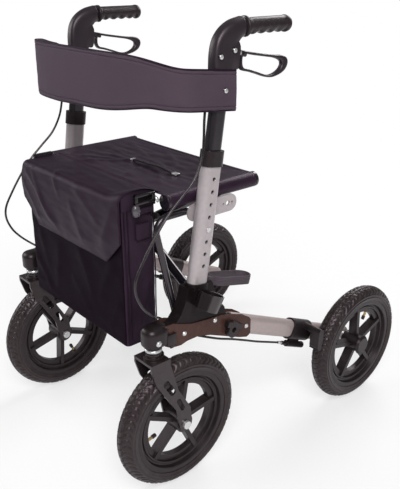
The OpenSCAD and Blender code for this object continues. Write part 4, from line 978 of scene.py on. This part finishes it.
def makeBand(c):
    line = [bandPlace(c, 1 - i / c["steps"]) for i in range(2 * c["steps"] + 1)]
    flat = [Vector((x, y, 0)) for x, y, top, low in line]
    rings, topEdge, lowEdge = [], [], []
    for i, (x, y, top, low) in enumerate(line):
        d = tangent(flat, i)
        out = Vector((-d.y, d.x, 0))
        if out.dot(flat[i] - Vector((0, -0.15, 0))) < 0:
            out = -out
        outline = [(e, top - h) for e, h in c["face"]]
        outline += [(1.0, lerp(top - c["hem"], low + c["hem"], k / 7)) for k in range(8)]
        outline += [(e, low + h) for e, h in reversed(c["face"])]
        outline += [(0.0, lerp(low, top, k / 6)) for k in range(1, 6)]
        ring = []
        for e, z in outline:
            soft = sum(high * wrinkle((x, y, z), size, seed) for high, size, seed in c["soft"])
            ring.append(flat[i] + out * (e * (c["thick"] + soft)) + Vector((0, 0, z)))
        rings.append(ring)
        middle = flat[i] + out * (c["thick"] * 0.5)
        topEdge.append(middle + Vector((0, 0, top - c["pipingIn"])))
        lowEdge.append(middle + Vector((0, 0, low + c["pipingIn"])))
    band = bandPiece("backrest_sling", loftRings(rings), "bandCloth", "backrest_band", sharp=c["sharp"])
    for name, edge in (("top", topEdge), ("low", lowEdge)):
        bandPiece("backrest_piping_" + name, tubeParts(edge, c["piping"], 8), "piping")


makeBand(bandSet)
print("band made")


# side buckles, seams and patches of the bag

buckleSet = {
    "x": 0.1885, "seam": 0.0013, "seamIn": 0.0004, "seamWave": 0.0012, "stitch": 0.0008, "hookSize": 0.0036,
    "buckles": [
        ((0.002, -0.3205, 0.6245), (0.0105, -0.2745, 0.6305)), ((0.002, -0.3205, 0.6395), (0.0105, -0.2745, 0.6450)),
        ((0.001, -0.3205, 0.6245), (0.0097, -0.3137, 0.6450)), ((0.001, -0.2813, 0.6245), (0.0097, -0.2745, 0.6450)),
        ((0.0, -0.2775, 0.5905), (0.0185, -0.2715, 0.6005)),
    ],
    "straps": [((-0.0008, -0.3155, 0.606), (0.0020, -0.2790, 0.643))],
    "patches": [
        ((0.0, -0.3165, 0.604), (0.0052, -0.2765, 0.6145)), ((-0.0018, -0.3165, 0.551), (0.0012, -0.2830, 0.584)),
    ],
    "tab": (0.006, -0.3175, 0.6130), "tabSize": (0.0072, 0.0092, 0.0135),
    "seams": (-0.3400, -0.3320, -0.2715), "seamEnds": (0.332, 0.624),
    "hook": [(190, -271, 631), (194, -269, 628), (198, -266.5, 622)],
}


def makeBuckles(c):
    tabs, seams, hooks = [], [], []
    for side, sign in sides:
        (low, y0, z0), (far, y1, z1) = c["patches"][1]
        corners = ((y0, z0), (y1, z0), (y1, z1), (y0, z1))
        for (ya, za), (yb, zb) in zip(corners, corners[1:] + corners[:1]):
            ends = [Vector((sign * (c["x"] + far), lerp(ya, yb, t), lerp(za, zb, t))) for t in (0.04, 0.5, 0.96)]
            seams.append(tubeParts(ends, c["stitch"], 8))
        x, y, z = c["tab"]
        tabs.append(domeParts(Vector((sign * (c["x"] + x), y, z)), c["tabSize"]))
        hooks.append(tubeParts([mm(sign * x, y, z) for x, y, z in c["hook"]], c["hookSize"], 14))
        for y in c["seams"]:
            points = []
            for k in range(41):
                z = lerp(*c["seamEnds"], k / 40)
                out = bagSet["half"] - c["seamIn"] + bagSide(bagSet, y, z)
                points.append(Vector((sign * out, y + c["seamWave"] * wrinkle((y, 0, z), 0.06, 8.0), z)))
            seams.append(tubeParts(points, c["seam"], 8))
    for key, edge, *rest in (
        ("buckles", 0.0014, "buckle", "buckle_plastic", "bag_buckles"),
        ("straps", 0.0006, "webbing", "webbing"),
        # the patches are in the sides' nylon painted paler as painted light
        ("patches", 0.0005, "bagSideNylon", "bag_nylon"),
    ):
        boxes = [boxParts(low, high, sign, c["x"]) for side, sign in sides for low, high in c[key]]
        bagPiece("bag_side_" + key, joinParts(boxes), *rest, edge=edge)
    bagPiece("bag_strap_tabs", joinParts(tabs), "paleTab", "buckle_plastic")
    bagPiece("bag_seams", joinParts(seams), "binding", "bag_nylon")
    bagPiece("bag_hooks", joinParts(hooks), "steel", "steel")


makeBuckles(buckleSet)
print("buckles made")


# handles: rivets, elbow moulding, brake lever and grip

handleSet = {
    "x": 0.246, "postY": -0.213, "footZ": 0.453, "lean": 8.75, "halfWidth": 0.014, "topWidth": 0.0172,
    "power": (4.2, 2.3), "squeeze": (0.92, 0.94), "edge": 0.0012, "edgeAngle": 50,
    "outer": [
        (-24, 411), (-27, 412), (-28.5, 420), (-30.5, 440), (-29, 460), (-22.5, 476), (-11, 490), (6, 502),
        (28.5, 510.5),
    ],
    "inner": [(18, 411), (19.5, 412), (20, 420), (20.5, 436), (21, 447), (23, 456), (26, 463), (30, 469), (35, 475)],
    "cheek": [(10, 416), (22, 416), (26.5, 418), (28.5, 423), (28.5, 450), (27, 458), (23, 465), (10, 471)],
    "cheekIn": 0.0069, "cheekOut": 0.0138,
}


def onPost(c, sign, x, v, s):
    # a point of the post's own frame: v back and s up along the post, both in millimetres
    lean = radians(c["lean"])
    return Vector((
        sign * (c["x"] + x),
        c["postY"] + (s * sin(lean) + v * cos(lean)) / 1000,
        c["footZ"] + (s * cos(lean) - v * sin(lean)) / 1000,
    ))


def makeElbows(c):
    outer, inner = (curvePoints([Vector((v, s, 0)) for v, s in c[key]], 5) for key in ("outer", "inner"))
    for side, sign in sides:
        rings = []
        for i, (o, n) in enumerate(zip(outer, inner)):
            t = i / (len(outer) - 1)
            mid, half = (o + n) / 2, (o - n) / 2
            squeezeX, squeeze = c["squeeze"] if i == 0 else (1, 1)
            width = lerp(c["halfWidth"], c["topWidth"], smoothStep((t - 0.45) / 0.55)) * squeezeX
            power = lerp(*c["power"], smoothStep((t - 0.3) / 0.7))
            ring = []
            for ca, sa in circle(32):
                q = mid + half * (bulge(ca, power) * squeeze)
                ring.append(onPost(c, sign, width * bulge(sa, power), q.x, q.y))
            rings.append(ring)
        parts = [loftRings(rings)]
        for e in (-1, 1):
            parts.append(loftRings([[onPost(c, sign, e * x, v, s) for v, s in c["cheek"]]
                                    for x in (c["cheekIn"], c["cheekOut"])]))
        addPiece(side + "_elbow", joinParts(parts), side + "_handle", "elbowPlastic", "black_plastic",
                 side + "_lever_bracket", edge=c["edge"], edgeAngle=c["edgeAngle"])


leverSet = {
    "pivot": (-0.117228, 0.890523), "length": 0.147, "halfWidth": 0.0064, "bar": 0.0065, "arm": 0.0056,
    "armEnd": (0, 0.004, -0.003), "hub": 0.0071, "hubEdge": (0.001, 0.0016), "power": 3.2,
    "loop": [
        (0.136, -0.012, 0.75), (0.32, -0.044, 0.8), (0.541, -0.08, 0.8), (0.704, -0.106, 0.95), (0.829, -0.136, 1.8),
        (0.889, -0.185, 2.8), (0.875, -0.25, 2.3), (0.815, -0.303, 1.5), (0.732, -0.336, 1.03), (0.636, -0.352, 0.8),
        (0.522, -0.337, 0.7), (0.377, -0.29, 0.7), (0.235, -0.247, 0.72), (0.121, -0.217, 0.8), (0.081, -0.162, 0.8),
        (0.078, -0.083, 0.8), (0.095, -0.032, 0.8),
    ],
}


def roundedTube(c, points, halfIn, closed):
    # boxy section with its wide side along X
    rings = []
    for i, p in enumerate(points):
        n = Vector((1, 0, 0)).cross(tangent(points, i, closed)).normalized()
        rings.append([p + n * (halfIn[i] * bulge(ca, c["power"]))
                      + Vector((c["halfWidth"] * bulge(sa, c["power"]), 0, 0)) for ca, sa in circle(16, 0.5)])
    return loftRings(rings, True, closed)


def makeLevers(c):
    y0, z0 = c["pivot"]
    wide, (inset, step) = c["halfWidth"], c["hubEdge"]
    hub = [(-wide, c["hub"] - step), (inset - wide, c["hub"]), (wide - inset, c["hub"]), (wide, c["hub"] - step)]
    for side, sign in sides:
        pivot = Vector((sign * handleSet["x"], y0, z0))
        marks = [Vector((pivot.x, y0 + a * c["length"], z0 + b * c["length"])) for a, b, w in c["loop"]]
        weights = curvePoints([Vector((w, 0, 0)) for a, b, w in c["loop"]], 6, True)
        parts = [roundedTube(c, curvePoints(marks, 6, True), [v.x * c["bar"] / 2 for v in weights], True)]
        parts.append(turnedParts(pivot, hub, 32))
        arm = curvePoints([pivot, marks[0] + Vector(c["armEnd"])], 4)
        parts.append(roundedTube(c, arm, [c["arm"]] * len(arm), False))
        addPiece(side + "_brake_handle", joinParts(parts), side + "_lever", "elbowPlastic", "black_plastic",
                 side + "_brake_lever")


gripSet = {
    "startY": -0.0994, "z": 0.9348, "length": 0.121, "radius": 0.0153, "turns": 48, "steps": 110, "sharp": 45,
    "flange": 0.0190, "flangeLength": 0.0055, "flangeFade": 0.003, "flangeEdge": (0.0018, 0.0016), "tail": 0.0062,
    "bead": 0.0009, "beadAt": 0.010, "beadWidth": 0.004, "bodyStart": 0.010, "bodyEnd": 0.016, "bodyFade": 0.006,
    "ridgeStart": 0.012, "ridgeEnd": 0.016, "fingers": 4, "depth": 0.0036,
    "ribs": 26, "ribDepth": 0.0008, "ribTop": 0.75,
}


def makeGrips(c):
    for side, sign in sides:
        rings = []
        for i in range(c["steps"] + 1):
            y = c["length"] * i / c["steps"]
            tail = c["length"] - y
            body = smoothStep((y - c["bodyStart"]) / c["bodyFade"])
            body *= 1 - smoothStep((c["bodyEnd"] - tail) / c["bodyFade"])
            turn = 2 * pi * (y - c["ridgeStart"]) / (c["length"] - c["ridgeStart"] - c["ridgeEnd"])
            fingers, ribs = (body * (0.5 + 0.5 * cos(c[key] * turn)) for key in ("fingers", "ribs"))
            step, reach = c["flangeEdge"]
            ring = []
            for ca, sa in circle(c["turns"]):
                under = max(0, -sa) ** 1.2
                r = c["radius"] - c["depth"] * under * fingers
                r -= c["ribDepth"] * (1 - under) * ribs * (sa < c["ribTop"])
                r = lerp(c["flange"], r, smoothStep((y - c["flangeLength"]) / c["flangeFade"]))
                r -= step * (1 - smoothStep(y / reach))
                r += c["bead"] * exp(-((tail - c["beadAt"]) / c["beadWidth"]) ** 2) - roundIn(tail, c["tail"])
                ring.append(Vector((sign * handleSet["x"] + r * ca, c["startY"] + y, c["z"] + r * sa)))
            rings.append(ring)
        addPiece(side + "_hand_grip", loftRings(rings), side + "_handle", "gripRubber", "grip_rubber",
                 side + "_grip", sharp=c["sharp"])


rivetSet = {"radius": 0.0046, "rise": 0.0016}


def makeRivets(c):
    # a bright dome on the outer face of each separate fastener of the handle
    for side, sign in sides:
        node = nodes[side + "_handle_fasteners"]
        work = bmesh.new()
        work.from_mesh(node.data)
        work.transform(node.matrix_world)
        bmesh.ops.remove_doubles(work, verts=work.verts, dist=0.00001)
        left, domes = set(work.verts), []
        while left:
            island, queue = [], [left.pop()]
            while queue:
                vert = queue.pop()
                island.append(vert.co.copy())
                for edge in vert.link_edges:
                    other = edge.other_vert(vert)
                    if other in left:
                        left.remove(other)
                        queue.append(other)
            reach = max(sign * p.x for p in island)
            ring = [p for p in island if sign * p.x > reach - 0.001]
            y, z = (sum((min(p[k] for p in ring), max(p[k] for p in ring))) / 2 for k in (1, 2))
            dome = domeParts(Vector((sign * reach, y, z)), (c["rise"], c["radius"], c["radius"]))
            domes.append((round(z, 5), dome))
        work.free()
        domes.sort(key=lambda dome: dome[0])
        addPiece(side + "_rivets", joinParts([dome for z, dome in domes]), side + "_handle", "steel", "steel")


makeRivets(rivetSet)
makeElbows(handleSet)
makeLevers(leverSet)
makeGrips(gripSet)
print("handles made")


# walking stick holder

loopSet = {
    "x": 0.246, "y": -0.179, "z": 0.448, "tilt": -14.5, "length": 0.112, "width": 0.042, "height": 0.0185,
    "flare": 0.15, "thick": 0.0034, "ribs": 5, "rib": 0.0005, "edge": 0.0008, "high": 22, "sharp": 40,
    "root": ((-0.0104, -0.0125, -0.0078), (0.0104, 0.003, 0.0078)),
}


def makeStickLoop(c):
    tilt = radians(c["tilt"])

    def place(x, along, up):
        return Vector((c["x"] + x, c["y"] + along * cos(tilt) - up * sin(tilt),
                       c["z"] + along * sin(tilt) + up * cos(tilt)))

    straight = c["length"] - c["width"]
    radius = c["width"] / 2
    line = []
    for start in (0, 1):
        for k in range(25):
            a = pi * (start + k / 24)
            along = radius + straight * (1 - start) + radius * sin(a)
            line.append((radius * cos(a), along, cos(a), sin(a)))
        out = 2 * start - 1
        for k in range(1, 12):
            line.append((out * radius, radius + straight * (k if start else 12 - k) / 12, out, 0))
    high = c["high"]
    rings = []
    for x, along, nx, ny in line:
        ups = [c["height"] * (k / high - 0.5) * (1 + c["flare"] * max(0, ny) ** 2) for k in range(high + 1)]
        ring = []
        for k, up in enumerate(ups):
            inset = c["rib"] - c["rib"] * cos(2 * pi * c["ribs"] * k / high)
            inset += c["edge"] if k in (0, high) else 0
            ring.append(place(x - nx * inset, along - ny * inset, up))
        ring += [place(x - nx * c["thick"], along - ny * c["thick"], up) for up in reversed(ups)]
        rings.append(ring)
    corners, sidesOfRoot = boxParts(*c["root"])
    root = ([place(*p) for p in corners], sidesOfRoot)
    addPiece("stick_holder_loop", joinParts([loftRings(rings, True, True), root]), "left_frame", "paleWebbing",
             "webbing", "stick_loop", sharp=c["sharp"])


makeStickLoop(loopSet)
print("stick holder made")


# caster heads

capSet = {
    "x": 0.246, "front": -0.3495, "rear": -0.2935, "half": 0.0222, "low": 0.3515, "high": 0.3935, "round": 0.0195,
    "top": 0.014, "foot": 0.006, "stemY": -0.326, "neck": 0.0148, "neckLow": 0.3375, "neckIn": 0.002, "sharp": 40,
    "ring": [(0.3390, 0.0150), (0.3395, 0.0172), (0.3425, 0.0176), (0.3455, 0.0172), (0.3460, 0.0150)],
    "bolt": (0.0225, -0.3287, 0.3640), "boltSize": (0.0046, 0.0064, 0.0064), "clipEdge": 0.0016,
    "clip": [
        ((0.0173, -0.3070, 0.3480), (0.0222, -0.2840, 0.3730)),
        ((0.0173, -0.2990, 0.3405), (0.0210, -0.2890, 0.3500)),
    ],
}


def makeCasterHeads(c):
    for side, sign in sides:
        middle = Vector((sign * c["x"], 0, 0))
        stem = Vector((sign * c["x"], c["stemY"], 0))
        body = side + "_frame"
        rings = []
        for k in range(25):
            t = k / 24
            z = lerp(c["low"], c["high"], t)
            edge = roundIn(min(z - c["low"], c["high"] - z), c["foot"] if t < 0.4 else c["top"])
            outline = roundedRing(c["half"] - edge, c["front"] + edge, c["rear"] - edge, c["round"] - edge, 8, 10)
            rings.append([middle + Vector((x, y, z)) for x, y, nx, ny in outline])
        neck = [(c["neckLow"], c["neck"]), (c["low"] + c["neckIn"], c["neck"])]
        parts = [loftRings(rings), turnedParts(stem, neck, 32, True)]
        addPiece(side + "_head_cap", joinParts(parts), body, "blackPlastic", "black_plastic", side + "_caster_head",
                 sharp=c["sharp"])
        x, y, z = c["bolt"]
        bolt = domeParts(Vector((sign * (c["x"] + x), y, z)), c["boltSize"])
        bright = joinParts([turnedParts(stem, c["ring"], 40, True), bolt])
        addPiece(side + "_head_ring", bright, body, "steel", "steel")
        clip = [boxParts(low, high, sign, c["x"]) for low, high in c["clip"]]
        addPiece(side + "_head_clip", joinParts(clip), body, "blackPlastic", "black_plastic", edge=c["clipEdge"])


makeCasterHeads(capSet)
print("caster heads made")


# tyre valves

valveSet = {
    "front": {"left": 193, "right": -65}, "rear": {"left": 60, "right": 120}, "inner": 0.060, "outer": 0.0840,
    "radius": 0.0032, "capRadius": 1.35, "tip": 0.72,
}


def makeValves(c):
    for side, sign in sides:
        for end in ("front", "rear"):
            centre = wheelCentre(sign, end)
            a = radians(c[end][side])
            out = Vector((0, cos(a), sin(a)))
            for name, low, high, radius, finish, slotName in (
                ("valve", 0.30, 1.0, c["radius"], "brass", "steel"),
                ("valve_cap", 0.0, 0.42, c["radius"] * c["capRadius"], "blackPlastic", "black_plastic"),
            ):
                p, q = (centre + out * lerp(c["inner"], c["outer"], share) for share in (low, high))
                points = [lerp(p, q, k / 6) for k in range(7)]
                tube = tubeParts(points, [radius * c["tip"]] + [radius] * 6, 14)
                addPiece(f"{side}_{end}_{name}", tube, f"{side}_{end}_wheel", finish, slotName)


makeValves(valveSet)
print("valves made")
